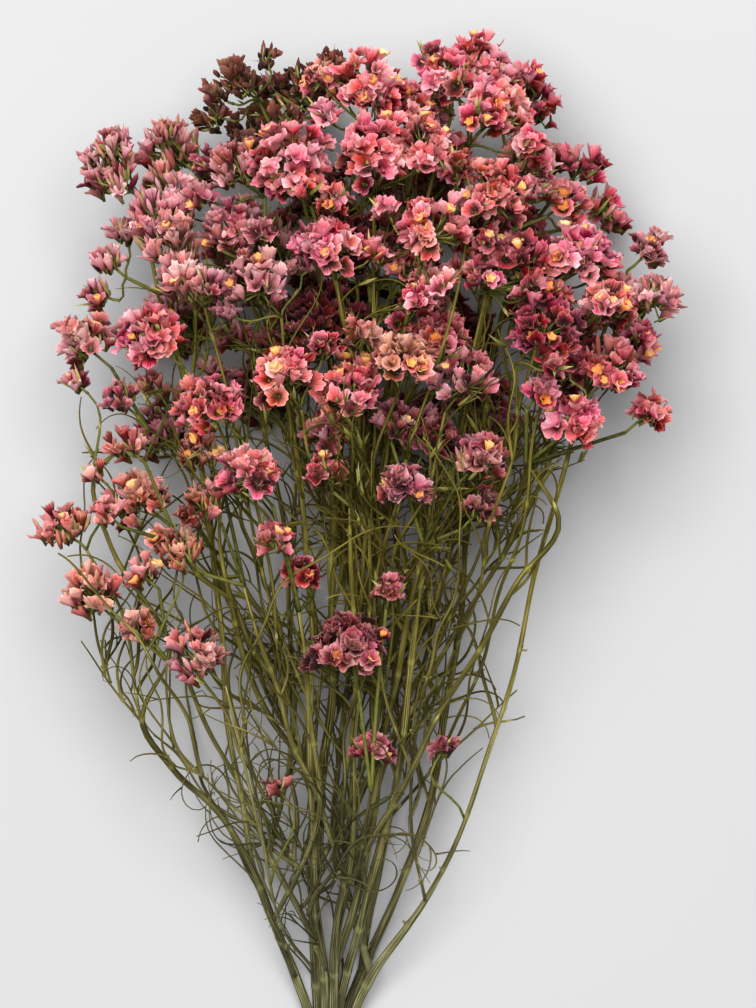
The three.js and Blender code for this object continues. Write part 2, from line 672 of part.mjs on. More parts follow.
const bunch = new THREE.Group();
bunch.name = "dried_statice";
STEMS.forEach((stem, number) => {
  const whole = stemSolid(wood, sprays, twigs, number);
  bunch.add(meshOf(`stem_to_${stem.leader}`, whole, STEM_GREEN, 0.75));
});
const headDraws = drawsFrom(HEAD_SEED);
for (const spray of sprays) {
  bunch.add(meshOf(`spray_${spray.name}`, spraySolid(wood, spray, headDraws), TONES[spray.tone], 0.85));
}

// The origin is on the surface, under the middle of the bunch's box.
const middle = new THREE.Box3().setFromObject(bunch).getCenter(vec(0, 0, 0));
bunch.position.set(-middle.x, -middle.y, 0);

export default bunch;
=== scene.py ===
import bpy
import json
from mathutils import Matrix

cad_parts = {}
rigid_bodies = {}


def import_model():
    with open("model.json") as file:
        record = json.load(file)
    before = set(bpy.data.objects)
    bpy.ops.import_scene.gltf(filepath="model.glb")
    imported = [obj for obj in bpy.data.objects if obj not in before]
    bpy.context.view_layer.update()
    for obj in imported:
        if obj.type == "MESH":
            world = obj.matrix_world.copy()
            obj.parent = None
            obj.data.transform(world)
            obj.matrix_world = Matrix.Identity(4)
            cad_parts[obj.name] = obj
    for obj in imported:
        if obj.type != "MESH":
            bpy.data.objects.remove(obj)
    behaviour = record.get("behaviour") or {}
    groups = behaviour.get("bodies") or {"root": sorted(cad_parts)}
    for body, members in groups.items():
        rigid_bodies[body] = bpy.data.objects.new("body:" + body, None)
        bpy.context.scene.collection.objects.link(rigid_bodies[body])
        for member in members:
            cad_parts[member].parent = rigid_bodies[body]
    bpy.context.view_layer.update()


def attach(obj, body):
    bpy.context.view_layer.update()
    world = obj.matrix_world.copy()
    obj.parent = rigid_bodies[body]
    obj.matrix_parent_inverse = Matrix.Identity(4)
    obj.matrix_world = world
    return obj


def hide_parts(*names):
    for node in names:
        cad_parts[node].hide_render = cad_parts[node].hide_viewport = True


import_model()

# A bunch of dried statice, lying on a pale surface and seen from above.
# The wood is grown by the same rule as the solids', so the fine pieces lie where the solids are.
# Places below are in millimetres from the middle of the neck; SHIFT takes them to the part's own origin.
import json
import math

import bpy
import numpy as np
from mathutils import Matrix
from mathutils.kdtree import KDTree

SHIFT = np.array([-0.1486, -131.4568, 0.0])
MM = 0.001
FLOOR_ROOM = 0.15  # nothing comes nearer to the surface than this
FULL_TURN = 2 * math.pi

# ---------------------------------------------------------------- driving dimensions

NECK_X, NECK_Y, CUT_Y = -11.0, 4.0, -78.0
NECK_BEND = 20.0
NECK_PITCH, NECK_FLOOR = 4.6, 1.7
TRUNK_R, TWIG_R, STERILE_R = 2.15, 0.72, 0.62
FEED_POWER = 0.42
CLEAR, SEAT_GAP = 1.1, 0.3
AXIS_STEP, BRANCH_STEP, STALK_STEP = 34.0, 26.0, 26.0
CANOPY_MIDDLE = (4.0, 60.0)
OUTWARD_AT = 45  # heads this far from the middle or further look outward in full
MAIN_BOW, BRANCH_BOW, WIDEST_BOW, HANDLE = 2.6, 3.6, 1.2, 0.38
FORK_ANGLE, WIDE_COST, SHORTEST_BRANCH, SHORT_COST = 30.0, 3.5, 24.0, 200
LONG_SHARE, LONG_BRANCH, SHORT_BRANCH = 0.8, (120, 230), (36, 70)
FORK_SEED = 8
LINE_SAMPLES = 12  # points of a smooth line for each run of the wood
FOOT, FORK_DROP, FORK_INWARD = 1.12, 5.0, 0.12
CUT_SPREAD = 1.12
CUT_STAGGER = (3, -4, 0, 5, -2, 2, -5, 1)
KEPT_BEND, EASING = 0.9, 0.12
ROUNDS, LAST_ROUNDS, LONGEST_PUSH = 90, 14, 1.5
LOAD_COST, FORK_ROOT = 3.0, 0.6
TWIGS, TWIG_ROOM, TWIG_TRIES = 36, 0.5, 900
TWIGS_FROM, TWIGS_TO = 5.0, 190.0
TWIG_SEED = 4716

# Stems: place in the neck's cross-section (across, row), and the spray that ends the stem.
STEMS = [
    ((-1.5, 1), "left_tip"), ((-0.5, 1), "left_shoulder"), ((0, 2), "front_crown"), ((0.5, 1), "right_crown"),
    ((-1, 0), "back_left_crown"), ((0, 0), "top"), ((1, 0), "back_right_crown"), ((1.5, 1), "right_tip"),
]

# Sprays: tone, then each flower head's middle (x, y, z) and radius.
SPRAYS = {
    "top": ("pink", (39.5, 336, 62, 11.5), (29, 333, 80, 8)),
    "crown": ("coral", (1, 327, 82, 14)),
    "crown_middle": ("coral", (20, 322, 58, 12), (21, 309, 88, 11)),
    "back_right_crown": ("magenta", (59, 325, 45, 13), (76, 304, 48, 10), (83, 292, 30, 9)),
    "back_left_crown": ("maroon", (-21, 330, 42, 11), (-38, 312, 36, 12), (-43, 333, 55, 9),
                        (-26, 318, 70, 7.5)),
    "left_tip": ("dusky", (-85, 302, 66, 11), (-86, 271, 62, 7)),
    "left_crown": ("dusky", (-65, 309, 50, 12)),
    "left_shoulder": ("dusky", (-41, 300, 82, 11), (-44, 278, 84, 11)),
    "front_left_crown": ("pink", (-24, 299, 100, 14)),
    "front_crown": ("pink", (4, 302, 107, 14)),
    "right_crown": ("coral", (44, 318, 92, 13)),
    "right_shoulder": ("pink", (57, 304, 76, 11), (69, 292, 63, 7.5)),
    "front_right": ("coral", (43, 290, 104, 13)),
    "front_middle": ("coral", (23, 277, 113, 12), (22, 261, 99, 9)),
    "front_left": ("pink", (-12, 273, 108, 13)),
    "left_side": ("dusky", (-69, 283, 76, 12)),
    "left_buds": ("dusky", (-60, 262, 94, 10)),
    "front_left_low": ("dusky", (-34, 260, 98, 12)),
    "heart": ("maroon", (6, 275, 74, 13)),
    "right_dark": ("magenta", (51, 269, 90, 13)),
    "right_side": ("pink", (75, 271, 76, 13)),
    "right_tip": ("dusky", (98, 275, 62, 9), (99, 257, 70, 11)),
    "right_low": ("pink", (81, 254, 94, 11)),
    "front_right_low": ("magenta", (60, 245, 104, 13)),
    "right_hang": ("pink", (93, 243, 50, 9), (85, 233, 78, 11)),
    "right_foot": ("pink", (71, 216, 84, 11), (96, 219, 66, 8), (60, 226, 95, 7)),
    "middle_low": ("coral", (25, 243, 80, 12)),
    "front_bright": ("coral", (15, 236, 108, 12)),
    "front_dull": ("dusky", (34, 228, 96, 11)),
    "heart_low": ("maroon", (-17, 250, 72, 12)),
    "band_left": ("coral", (-26, 230, 108, 13)),
    "band_middle": ("coral", (-4, 225, 98, 11), (-11, 213, 76, 10), (-12, 199, 88, 7)),
    "band_far_left": ("magenta", (-49, 220, 96, 13)),
    "side_bright": ("pink", (-69, 243, 88, 12)),
    "side_tip": ("pink", (-94, 243, 70, 11), (-82, 224, 70, 7)),
    "chain": ("dusky", (-55, 205, 76, 9), (-53, 188, 88, 8), (-60, 172, 84, 9)),
    "front_foot": ("pink", (-37, 197, 100, 12), (-29, 177, 94, 7), (-21, 165, 78, 8)),
    "left_low": ("dusky", (-75, 190, 62, 12), (-79, 208, 74, 7), (-86, 186, 80, 6.5)),
    "middle_dark": ("dusky", (23, 211, 70, 11), (39, 203, 84, 11), (40, 187, 70, 8), (11, 216, 84, 6.5)),
    "middle_foot": ("magenta", (14, 194, 90, 11)),
    "left_out": ("dusky", (-101, 180, 66, 9)),
    "left_foot": ("pink", (-91, 157, 72, 11), (-75, 146, 76, 7), (-74, 165, 72, 6.5)),
    "low_front": ("magenta", (-4, 140, 82, 14), (9, 160, 74, 6), (4, 105, 62, 8)),
    "low_left": ("pink", (-55, 136, 78, 11)),
    "under_crown": ("maroon", (23, 296, 10, 13), (-13, 294, 10, 13)),
    "under_right": ("magenta", (52, 282, 30, 12), (68, 246, 34, 12)),
    "under_left": ("dusky", (-42, 272, 30, 12), (-66, 255, 36, 11)),
    "under_middle": ("maroon", (28, 250, 9.5, 12), (-10, 252, 9.5, 12)),
    "under_left_low": ("dusky", (-34, 224, 9.5, 12)),
    "under_low": ("dusky", (8, 216, 30, 12)),
    "under_right_low": ("magenta", (46, 214, 9.5, 12)),
    "under_far_left": ("dusky", (-70, 213, 34, 11)),
}

# Small clusters of florets low on the stems: the spray they belong to, and middle and radius.
STRAYS = {
    "low_front": ((-29, 92, 56, 4.5), (28, 106, 56, 5.0)),
    "under_left_low": ((-44, 246, 42, 7.0), (-36, 238, 30, 6.5), (-52, 235, 40, 6.0)),
    "left_low": ((-90, 199, 72, 5.0), (-68, 176, 70, 5.5)),
    "side_tip": ((-97, 230, 66, 5.0), (-72, 229, 72, 5.0)),
}
STRAY_STALK = 26  # about how long the stalk of such a cluster is

# Long branches that swing out wide on their way: the places they pass.
SWINGS = {
    "left_foot": ((-48, 84, 44), (-76, 110, 62)),
    "side_tip": ((-68, 148, 58), (-91, 196, 66)),
    "right_foot": ((48, 154, 66), (72, 188, 74)),
}

# The bunch's outline: how far up, its reach to the left and right there, and its height above the surface.
OUTLINE = (
    (-90, 24, 2, 16), (0, 27, 8, 44), (20, 29, 9, 54), (34, 33, 17, 60), (48, 36, 25, 66), (61, 44, 31, 72),
    (75, 60, 36, 78), (88, 68, 40, 84), (102, 76, 44, 90), (116, 80, 50, 95), (129, 86, 52, 99),
    (143, 95, 50, 102), (156, 100, 54, 106), (170, 100, 58, 110), (184, 106, 62, 114), (197, 98, 70, 118),
    (211, 98, 86, 120), (224, 101, 99, 122), (238, 105, 99, 124), (252, 101, 104, 124), (265, 92, 107, 124),
    (279, 92, 102, 124), (292, 92, 94, 124), (306, 94, 86, 120), (320, 76, 78, 116), (333, 54, 62, 112),
    (345, 40, 52, 108),
)

# ---------------------------------------------------------------- small helpers

Y_AXIS = np.array([0.0, 1.0, 0.0])
Z_AXIS = np.array([0.0, 0.0, 1.0])


def unit(v):
    return v / max(np.linalg.norm(v), 1e-12)


def draws_from(seed):
    """Park and Miller's generator, which gives the solids' own numbers."""
    state = seed

    def draw(low, high):
        nonlocal state
        state = state * 16807 % 2147483647
        return low + (high - low) * state / 2147483647

    return draw


def dot(a, b):
    return (a * b).sum(-1)


def nearest_shares(a, b, c, d):
    """Nearest points of two segments, or of two rows of them, as shares along each."""
    u, v, w = b - a, d - c, a - c
    uu, vv, uv, uw, vw = dot(u, u), dot(v, v), dot(u, v), dot(u, w), dot(v, w)
    det = uu * vv - uv * uv
    s = np.where(det > 1e-9, np.clip((uv * vw - vv * uw) / np.maximum(det, 1e-9), 0, 1), 0.5)
    t = np.clip((uv * s + vw) / vv, 0, 1)
    s = np.clip((uv * t - uw) / uu, 0, 1)
    return s, t


def along(a, b, s):
    return a + (b - a) * np.asarray(s)[..., None]


def gone_along(line):
    """How far along a line each of its points is."""
    return np.concatenate([[0], np.cumsum(np.linalg.norm(np.diff(line, axis=0), axis=1))])


def at_places(line, gone, at):
    """The points of a line at the given lengths along it."""
    return np.stack([np.interp(at, gone, line[:, k]) for k in range(3)], axis=1)


def distance_apart(a, b, c, d):
    s, t = nearest_shares(a, b, c, d)
    return np.linalg.norm(along(a, b, s) - along(c, d, t), axis=-1)


def js_round(x):
    """Rounding as the solids' script does it."""
    return math.floor(x + 0.5)


def group_of(groups, name, otherwise):
    """The key of the group that holds the name."""
    return next((key for key, names in groups.items() if name in names), otherwise)


# ---------------------------------------------------------------- where the heads stand


def facing(x, z):
    """The way a head looks: up the bunch, and outward the further it is from the middle."""
    out = np.array([x - CANOPY_MIDDLE[0], 0.0, z - CANOPY_MIDDLE[1]]) / OUTWARD_AT
    length = np.linalg.norm(out)
    if length > 1:
        out /= length
    return unit(out * 0.95 + 0.8 * Y_AXIS)


def make_head(x, y, z, radius, axis=None):
    """A flower head. Its foot is where the wood meets it."""
    middle, axis = np.array([x, y, z], float), facing(x, z) if axis is None else axis
    return dict(middle=middle, radius=radius, axis=axis, foot=middle - axis * FOOT * radius)


def make_sprays():
    sprays = []
    for name, (tone, *places) in SPRAYS.items():
        heads = [make_head(*place) for place in places]
        foot = heads[0]["foot"].copy()
        if len(heads) > 1:
            foot = np.mean([head["foot"] for head in heads], axis=0)
            foot[1] = min(head["foot"][1] for head in heads) - FORK_DROP
            foot[0] += (CANOPY_MIDDLE[0] - foot[0]) * FORK_INWARD
            foot[2] += (CANOPY_MIDDLE[1] - foot[2]) * FORK_INWARD
        axis = unit(sum(head["axis"] for head in heads))
        sprays.append(dict(name=name, tone=tone, heads=heads, axis=axis, foot=foot, branch=None))
    return sprays


# ---------------------------------------------------------------- the branching


def add_run(wood, owner, start, places):
    """New wood from a point through the places; gives the run of its points' numbers."""
    run = [start]
    for p in places:
        wood.append(dict(p=np.array(p, float), parent=run[-1], owner=owner, feeds=0, fixed=False,
                         stout=False, ends=False))
        run.append(len(wood) - 1)
    return run


def rounded_line(points, samples=24):
    """Points close together on a smooth line through the given ones (a centripetal spline)."""
    points = [np.array(p, float) for p in points]
    points = [2 * points[0] - points[1], *points, 2 * points[-1] - points[-2]]
    out = []
    for n in range(1, len(points) - 2):
        p0, p1, p2, p3 = points[n - 1:n + 3]
        d0, d1, d2 = (max(dot(b - a, b - a) ** 0.25, 1e-4) for a, b in ((p0, p1), (p1, p2), (p2, p3)))
        t1 = ((p1 - p0) / d0 - (p2 - p0) / (d0 + d1) + (p2 - p1) / d1) * d1
        t2 = ((p2 - p1) / d1 - (p3 - p1) / (d1 + d2) + (p3 - p2) / d2) * d1
        t = (np.arange(samples) / samples)[:, None]
        cubic = 2 * p1 - 2 * p2 + t1 + t2
        square = -3 * p1 + 3 * p2 - 2 * t1 - t2
        out.append(p1 + t1 * t + square * t ** 2 + cubic * t ** 3)
    return np.vstack([*out, points[-2][None]])


def swing_places(start, passing, end, step):
    samples = 200 // (len(passing) + 1)
    line = rounded_line([start, *passing, end], samples)
    gone = gone_along(line)
    count = js_round(gone[-1] / step)
    return at_places(line, gone, gone[-1] * (np.arange(count) + 1) / count)


def curve_places(start, leaving, end, arriving, step, fewest=2):
    reach = np.linalg.norm(end - start)
    b, c = start + leaving * reach * HANDLE, end - arriving * reach * HANDLE
    count = max(fewest, js_round(reach / step))
    t = ((np.arange(count) + 1) / count)[:, None]
    return start * (1 - t) ** 3 + 3 * b * t * (1 - t) ** 2 + 3 * c * t ** 2 * (1 - t) + end * t ** 3


def growing_at(wood, i):
    return unit(wood[i]["p"] - wood[wood[i]["parent"]]["p"])


def bowed_out(growing, way, bow):
    aside = (way - growing * dot(way, growing)) / np.linalg.norm(way) * bow
    length = np.linalg.norm(aside)
    return unit(growing + aside * min(1, WIDEST_BOW / max(length, 1e-12)))


def grow_main_stem(wood, number, leader):
    (across, row), _ = STEMS[number]
    height = NECK_FLOOR + row * NECK_PITCH * math.sin(math.pi / 3)
    neck = np.array([NECK_X + across * NECK_PITCH, NECK_Y, height])
    cut = np.array([NECK_X + across * NECK_PITCH * CUT_SPREAD, CUT_Y + CUT_STAGGER[number], height])
    wood.append(dict(p=cut, parent=-1, owner=number, feeds=0, fixed=True, stout=True, ends=False))
    root, gathered = add_run(wood, number, len(wood) - 1, [neck])
    wood[gathered].update(fixed=True, stout=True)
    growing = growing_at(wood, gathered)
    leaving = bowed_out(growing, leader["foot"] - neck, MAIN_BOW)
    bend = neck + unit(growing + leaving) * NECK_BEND
    arriving = unit(leader["axis"] * 0.4 + Y_AXIS * 0.6)
    rest = curve_places(bend, leaving, leader["foot"], arriving, AXIS_STEP)
    return [root, *add_run(wood, number, gathered, [bend, *rest])]


def fork_for(wood, end, load, wanted):
    """The point of the wood where a branch to the end costs least."""
    best, least = -1, math.inf
    for i, point in enumerate(wood):
        if point["fixed"] or point["ends"] or not isinstance(point["owner"], int):
            continue
        way = end - point["p"]
        reach = np.linalg.norm(way)
        angle = math.degrees(math.acos(np.clip(dot(way, growing_at(wood, i)) / reach, -1, 1)))
        too_wide = max(0, angle - FORK_ANGLE) / FORK_ANGLE
        too_short = SHORT_COST if reach < SHORTEST_BRANCH else 0
        cost = (abs(reach - wanted) + reach * too_wide * WIDE_COST + too_short
                + load[point["owner"]] * LOAD_COST)
        if cost < least:
            best, least = i, cost
    return best


def grow_branch(wood, spray, load, draws):
    passing = [np.array(p, float) for p in SWINGS.get(spray["name"], ())]
    wanted = draws(*(LONG_BRANCH if draws(0, 1) < LONG_SHARE else SHORT_BRANCH))
    fork = fork_for(wood, passing[0] if passing else spray["foot"], load, wanted)
    source = wood[fork]
    load[source["owner"]] += len(spray["heads"])
    if passing:
        places = swing_places(source["p"], passing, spray["foot"], BRANCH_STEP)
    else:
        way = spray["foot"] - source["p"]
        leaving = bowed_out(growing_at(wood, fork), way, BRANCH_BOW)
        arriving = unit(spray["axis"] * 0.4 + unit(way) * 0.5 + Y_AXIS * 0.7)
        places = curve_places(source["p"], leaving, spray["foot"], arriving, BRANCH_STEP)
    return add_run(wood, source["owner"], fork, places)


def grow_stalks(wood, spray):
    fork = spray["branch"][-1]
    if len(spray["heads"]) == 1:
        wood[fork]["fixed"] = True
        return []
    runs = []
    for head in spray["heads"]:
        way = unit(head["foot"] - spray["foot"])
        places = curve_places(spray["foot"], way, head["foot"], head["axis"], STALK_STEP, 1)
        runs.append(add_run(wood, spray["name"], fork, places))
        wood[runs[-1][-1]]["fixed"] = True
    return runs


def grow_wood(sprays):
    wood, load = [], [0] * len(STEMS)
    draws = draws_from(FORK_SEED)
    by_name = {spray["name"]: spray for spray in sprays}
    for number, (_, leader) in enumerate(STEMS):
        by_name[leader]["branch"] = grow_main_stem(wood, number, by_name[leader])
        load[number] += len(by_name[leader]["heads"])
    for spray in sprays:
        if spray["branch"]:
            wood[spray["branch"][-1]]["ends"] = True

    def order(spray):
        x, y, z = spray["foot"]
        outward = math.hypot(x - CANOPY_MIDDLE[0], z - CANOPY_MIDDLE[1])
        return (0 if spray["name"] in SWINGS else 1, outward - y * 0.3)

    for spray in sorted((s for s in sprays if not s["branch"]), key=order):
        spray["branch"] = grow_branch(wood, spray, load, draws)
        wood[spray["branch"][-1]]["ends"] = True
    for spray in sprays:
        spray["stalks"] = grow_stalks(wood, spray)
        i = spray["branch"][-1]
        while i >= 0:
            wood[i]["feeds"] += len(spray["heads"])
            i = wood[i]["parent"]
    return wood


def thickness(point):
    if point["stout"]:
        return TRUNK_R
    return min(TRUNK_R, TWIG_R * max(1, point["feeds"]) ** FEED_POWER)


def bend_clear(wood, sprays):
    """Wood of different pieces, and wood and heads, are pushed apart a little at a time and eased."""
    places = np.array([point["p"] for point in wood])
    parent = np.array([point["parent"] for point in wood])
    owners = {owner: n for n, owner in enumerate(dict.fromkeys(point["owner"] for point in wood))}
    owner = np.array([owners[point["owner"]] for point in wood])
    radius = np.array([thickness(point) for point in wood])
    free = np.array([not point["fixed"] for point in wood])
    runs = np.flatnonzero(parent >= 0)
    following = np.full(len(wood), -1)
    for j in runs[::-1]:
        following[parent[j]] = j
    first, second = (runs[k] for k in np.triu_indices(len(runs), 1))
    apart = (owner[first] != owner[second]) & (parent[first] != second) & (parent[second] != first)
    first, second = first[apart], second[apart]
    heads = [(head, owners.get(spray["name"], -1), spray["branch"][-1]) for spray in sprays
             for head in spray["heads"]]
    of_run, of_head = np.meshgrid(runs, np.arange(len(heads)), indexing="ij")
    of_run, of_head = of_run.ravel(), of_head.ravel()
    head_owner = np.array([h[1] for h in heads])
    head_seat = np.array([h[2] for h in heads])
    middle = np.array([h[0]["middle"] for h in heads])
    head_radius = np.array([h[0]["radius"] for h in heads], float)
    other = (head_owner[of_head] != owner[of_run]) & (head_seat[of_head] != of_run)
    of_run, of_head = of_run[other], of_head[other]
    ease = np.flatnonzero((parent >= 0) & (following >= 0))

    def offsets():
        return places[ease] - (places[parent[ease]] + places[following[ease]]) * 0.5

    def shoved(gap, wanted):
        """Which gaps are too short, and what each of those lacks."""
        length = np.linalg.norm(gap, axis=1)
        hit = length < wanted
        return hit, gap[hit] / length[hit, None] * (wanted - length)[hit, None]

    def move(push, i, share, by):
        np.add.at(push, parent[i], by * (1 - share))
        np.add.at(push, i, by * share)

    bends = offsets()
    for turn in range(ROUNDS):
        push = np.zeros_like(places)
        a, b = places[parent[first]], places[first]
        c, d = places[parent[second]], places[second]
        near = np.abs(a[:, 1] + b[:, 1] - c[:, 1] - d[:, 1]) <= 3 * AXIS_STEP
        i, j, a, b, c, d = first[near], second[near], a[near], b[near], c[near], d[near]
        s, t = nearest_shares(a, b, c, d)
        wanted = radius[parent[i]] + radius[parent[j]] + CLEAR
        hit, shove = shoved(along(a, b, s) - along(c, d, t), wanted)
        move(push, i[hit], s[hit, None], shove * 0.5)
        move(push, j[hit], t[hit, None], -shove * 0.5)
        a, b, m = places[parent[of_run]], places[of_run], middle[of_head]
        s = np.clip(dot(m - a, b - a) / dot(b - a, b - a), 0, 1)
        hit, shove = shoved(along(a, b, s) - m, head_radius[of_head] + radius[parent[of_run]] + CLEAR * 0.7)
        move(push, of_run[hit], s[hit, None], shove)
        if turn < ROUNDS - LAST_ROUNDS:
            push[ease] += bends * (KEPT_BEND * EASING) - offsets() * EASING
        length = np.linalg.norm(push, axis=1, keepdims=True)
        push *= np.minimum(1, LONGEST_PUSH / np.maximum(length, 1e-12))
        places[free] += push[free]
        places[free, 2] = np.maximum(places[free, 2], radius[free] + 0.4)
    for point, p in zip(wood, places):
        point["p"] = p


# ---------------------------------------------------------------- the solids' bare twigs


def grow_twigs(wood, sprays):
    """For each stem, short bare twigs that keep clear of everything else."""
    draws = draws_from(TWIG_SEED)
    grown = [[] for _ in STEMS]
    middles, feet, radii = (np.array([head[key] for spray in sprays for head in spray["heads"]], float)
                            for key in ("middle", "foot", "radius"))
    feet = along(middles, feet, np.full(len(radii), 0.1))
    runs = [point for point in wood if point["parent"] >= 0]
    starts = np.array([wood[point["parent"]]["p"] for point in runs])
    ends = np.array([point["p"] for point in runs])
    thick = np.array([thickness(wood[point["parent"]]) for point in runs])
    owner = np.array([point["owner"] if isinstance(point["owner"], int) else -1 for point in runs])
    bases = [point for point in runs if isinstance(point["owner"], int) and not point["ends"]
             and TWIGS_FROM < point["p"][1] < TWIGS_TO]

    def is_clear(places, own):
        room = STERILE_R + TWIG_ROOM
        others = [(twig[n], twig[n + 1]) for stem, twigs in enumerate(grown) if stem != own
                  for twig in twigs for n in range(len(twig) - 1)]
        for a, b in zip(places, places[1:]):
            if b[2] < 2:
                return False
            if (distance_apart(a, b, middles, feet) < radii + room).any():
                return False
            theirs = owner != own
            if (distance_apart(a, b, starts[theirs], ends[theirs]) < thick[theirs] + room).any():
                return False
            if others:
                c, d = np.array([o[0] for o in others]), np.array([o[1] for o in others])
                if (distance_apart(a, b, c, d) < STERILE_R + room).any():
                    return False
        return True

    for _ in range(TWIG_TRIES):
        if sum(map(len, grown)) >= TWIGS:
            break
        base = bases[math.floor(draws(0, len(bases) - 0.001))]
        p, own = base["p"], base["owner"]
        way = unit(p - wood[base["parent"]]["p"])
        aside = unit(np.array([draws(-1, 1), draws(-0.3, 0.6), draws(-1, 1)]))
        length = draws(22, 58)
        leaving = unit(way * 0.8 + aside * 0.75)
        arriving = unit(way * 0.4 + aside * draws(-0.3, 0.8))
        tip = p + leaving * length * 0.55 + arriving * length * 0.45
        twig = [p, *curve_places(p, leaving, tip, arriving, length / 2)]
        if not is_clear(twig, own):
            continue
        grown[own].append(twig)
        prong = unit(unit(np.cross(aside, way)) * draws(-0.8, 0.8) + leaving)
        side = [twig[1], twig[1] + prong * length * 0.45]
        if is_clear(side, own):
            grown[own].append(side)
    return grown


# ---------------------------------------------------------------- gathering a mesh

PAPER, GREEN, YELLOW = 0, 1, 2  # the materials of a spray's piece
WOOD = 0  # a stem's piece has this and GREEN
RIB = 0.1  # how far a stem's ribs stand out, as a share of its radius
TIP_ROOM, NEAREST = 0.3, 0.5  # how near extra places come to a line's ends, and even places to them


def add_object(name, data):
    made = bpy.data.objects.new(name, data)
    bpy.context.scene.collection.objects.link(made)
    return made


class Gathered:
    """Grids of faces that become one mesh. Each point carries the place in its own piece's
    round (turn), how far out it is (reach) and a number of its piece's own (tint)."""

    def __init__(self):
        self.points, self.faces, self.kinds = [], [], []
        self.turn, self.reach, self.tint = [], [], []
        self.count = 0

    def add(self, points, faces, turn, reach, tint, kind):
        points = np.asarray(points, float).reshape(-1, 3)
        for shape in faces:
            self.faces.append(np.asarray(shape) + self.count)
            self.kinds.append(np.full(len(shape), kind))
        self.points.append(points)
        self.turn.append(np.broadcast_to(turn, points.shape))
        self.reach.append(np.broadcast_to(reach, len(points)))
        self.tint.append(np.broadcast_to(tint, len(points)))
        self.count += len(points)

    def mesh(self, name, materials):
        points = np.vstack(self.points) + SHIFT
        points[:, 2] = np.maximum(points[:, 2], FLOOR_ROOM)
        sizes = np.concatenate([np.full(len(f), f.shape[1]) for f in self.faces])
        corners = np.concatenate([f.ravel() for f in self.faces]).astype(np.int32)
        mesh = bpy.data.meshes.new(name)
        mesh.vertices.add(len(points))
        mesh.vertices.foreach_set("co", (points * MM).astype(np.float32).ravel())
        mesh.loops.add(len(corners))
        mesh.loops.foreach_set("vertex_index", corners)
        mesh.polygons.add(len(sizes))
        starts = np.concatenate([[0], np.cumsum(sizes)[:-1]]).astype(np.int32)
        mesh.polygons.foreach_set("loop_start", starts)
        for material in materials:
            mesh.materials.append(material)
        mesh.polygons.foreach_set("material_index", np.concatenate(self.kinds).astype(np.int32))
        mesh.polygons.foreach_set("use_smooth", np.ones(len(sizes), bool))
        for key, values, kind in (("turn", self.turn, "FLOAT_VECTOR"), ("reach", self.reach, "FLOAT"),
                                  ("tint", self.tint, "FLOAT")):
            layer = mesh.attributes.new(key, kind, "POINT")
            layer.data.foreach_set("vector" if kind == "FLOAT_VECTOR" else "value",
                                   np.concatenate(values).astype(np.float32).ravel())
        mesh.update(calc_edges=True)
        mesh.validate()
        return add_object(name, mesh)


def grid(rows, columns, closed=True):
    """Faces between rows of points; closed joins the last column to the first."""
    at = np.arange(rows * columns).reshape(rows, columns)
    right = np.roll(at, -1, axis=1) if closed else at[:, 1:]
    left = at if closed else at[:, :-1]
    return np.stack([left[:-1], right[:-1], right[1:], left[1:]], axis=-1).reshape(-1, 4)


def frames_along(line):
    """At each point of a line, its direction and two directions across it that turn as little as can be."""
    way = np.gradient(line, axis=0)
    way /= np.maximum(np.linalg.norm(way, axis=1, keepdims=True), 1e-12)
    across = np.empty_like(line)
    side = unit(np.cross(way[0], np.array([0.31, 0.13, 0.94])))
    for n, w in enumerate(way):
        side = unit(side - w * dot(side, w))
        across[n] = side
    return way, across, np.cross(way, across)


def angles(count):
    """Angles evenly round a circle."""
    return FULL_TURN * np.arange(count) / count


def turn_of(angle, rows, gone=0.0):
    """For rows of points round an axis, the cosine and sine of each and how far along it is."""
    around = np.ones((rows, 1)) * np.cos(angle), np.ones((rows, 1)) * np.sin(angle)
    return np.stack(np.broadcast_arrays(*around, gone), axis=-1).reshape(-1, 3)


def tube(line, radii, sides, ribs=0):
    """A closed tube. ribs run lengthwise, and the tips close in a low point."""
    way, across, up = frames_along(line)
    angle = angles(sides)
    r = radii[:, None] * (1 + RIB * np.cos(ribs * angle) if ribs else np.ones(sides))
    rings = (line[:, None] + across[:, None] * (r * np.cos(angle))[..., None]
             + up[:, None] * (r * np.sin(angle))[..., None])
    tips = np.array([line[0] - way[0] * radii[0] * 0.15, line[-1] + way[-1] * radii[-1] * 0.6])
    rows = len(line)
    gone = gone_along(line)
    turn = np.vstack([turn_of(angle, rows, gone[:, None]), [0, 0, 0], [0, 0, gone[-1]]])
    k = np.arange(sides)
    first = np.stack([np.full(sides, rows * sides), (k + 1) % sides, k], axis=1)
    base = (rows - 1) * sides
    last = np.stack([np.full(sides, rows * sides + 1), base + k, base + (k + 1) % sides], axis=1)
    return np.vstack([rings.reshape(-1, 3), tips]), [grid(rows, sides), first, last], turn


def add_tube(gathered, line, radii, sides, tint, kind=GREEN, reach=0.0):
    points, faces, turn = tube(np.asarray(line), np.asarray(radii, float), sides)
    gathered.add(points, faces, turn, reach, tint, kind)


def evenly(line, step, extra=()):
    """The same line in even steps, with extra places (by length) put in, and how far along each is."""
    gone = gone_along(line)
    count = max(2, int(round(gone[-1] / step)))
    at = np.linspace(0, gone[-1], count + 1)
    if len(extra):
        extra = np.asarray(extra)
        extra = extra[(extra > TIP_ROOM) & (extra < gone[-1] - TIP_ROOM)]
        at = at[np.array([np.abs(extra - x).min() > NEAREST if len(extra) else True for x in at])]
        at = np.unique(np.concatenate([at, extra, [0, gone[-1]]]))
    return at_places(line, gone, at), at


# ---------------------------------------------------------------- one floret

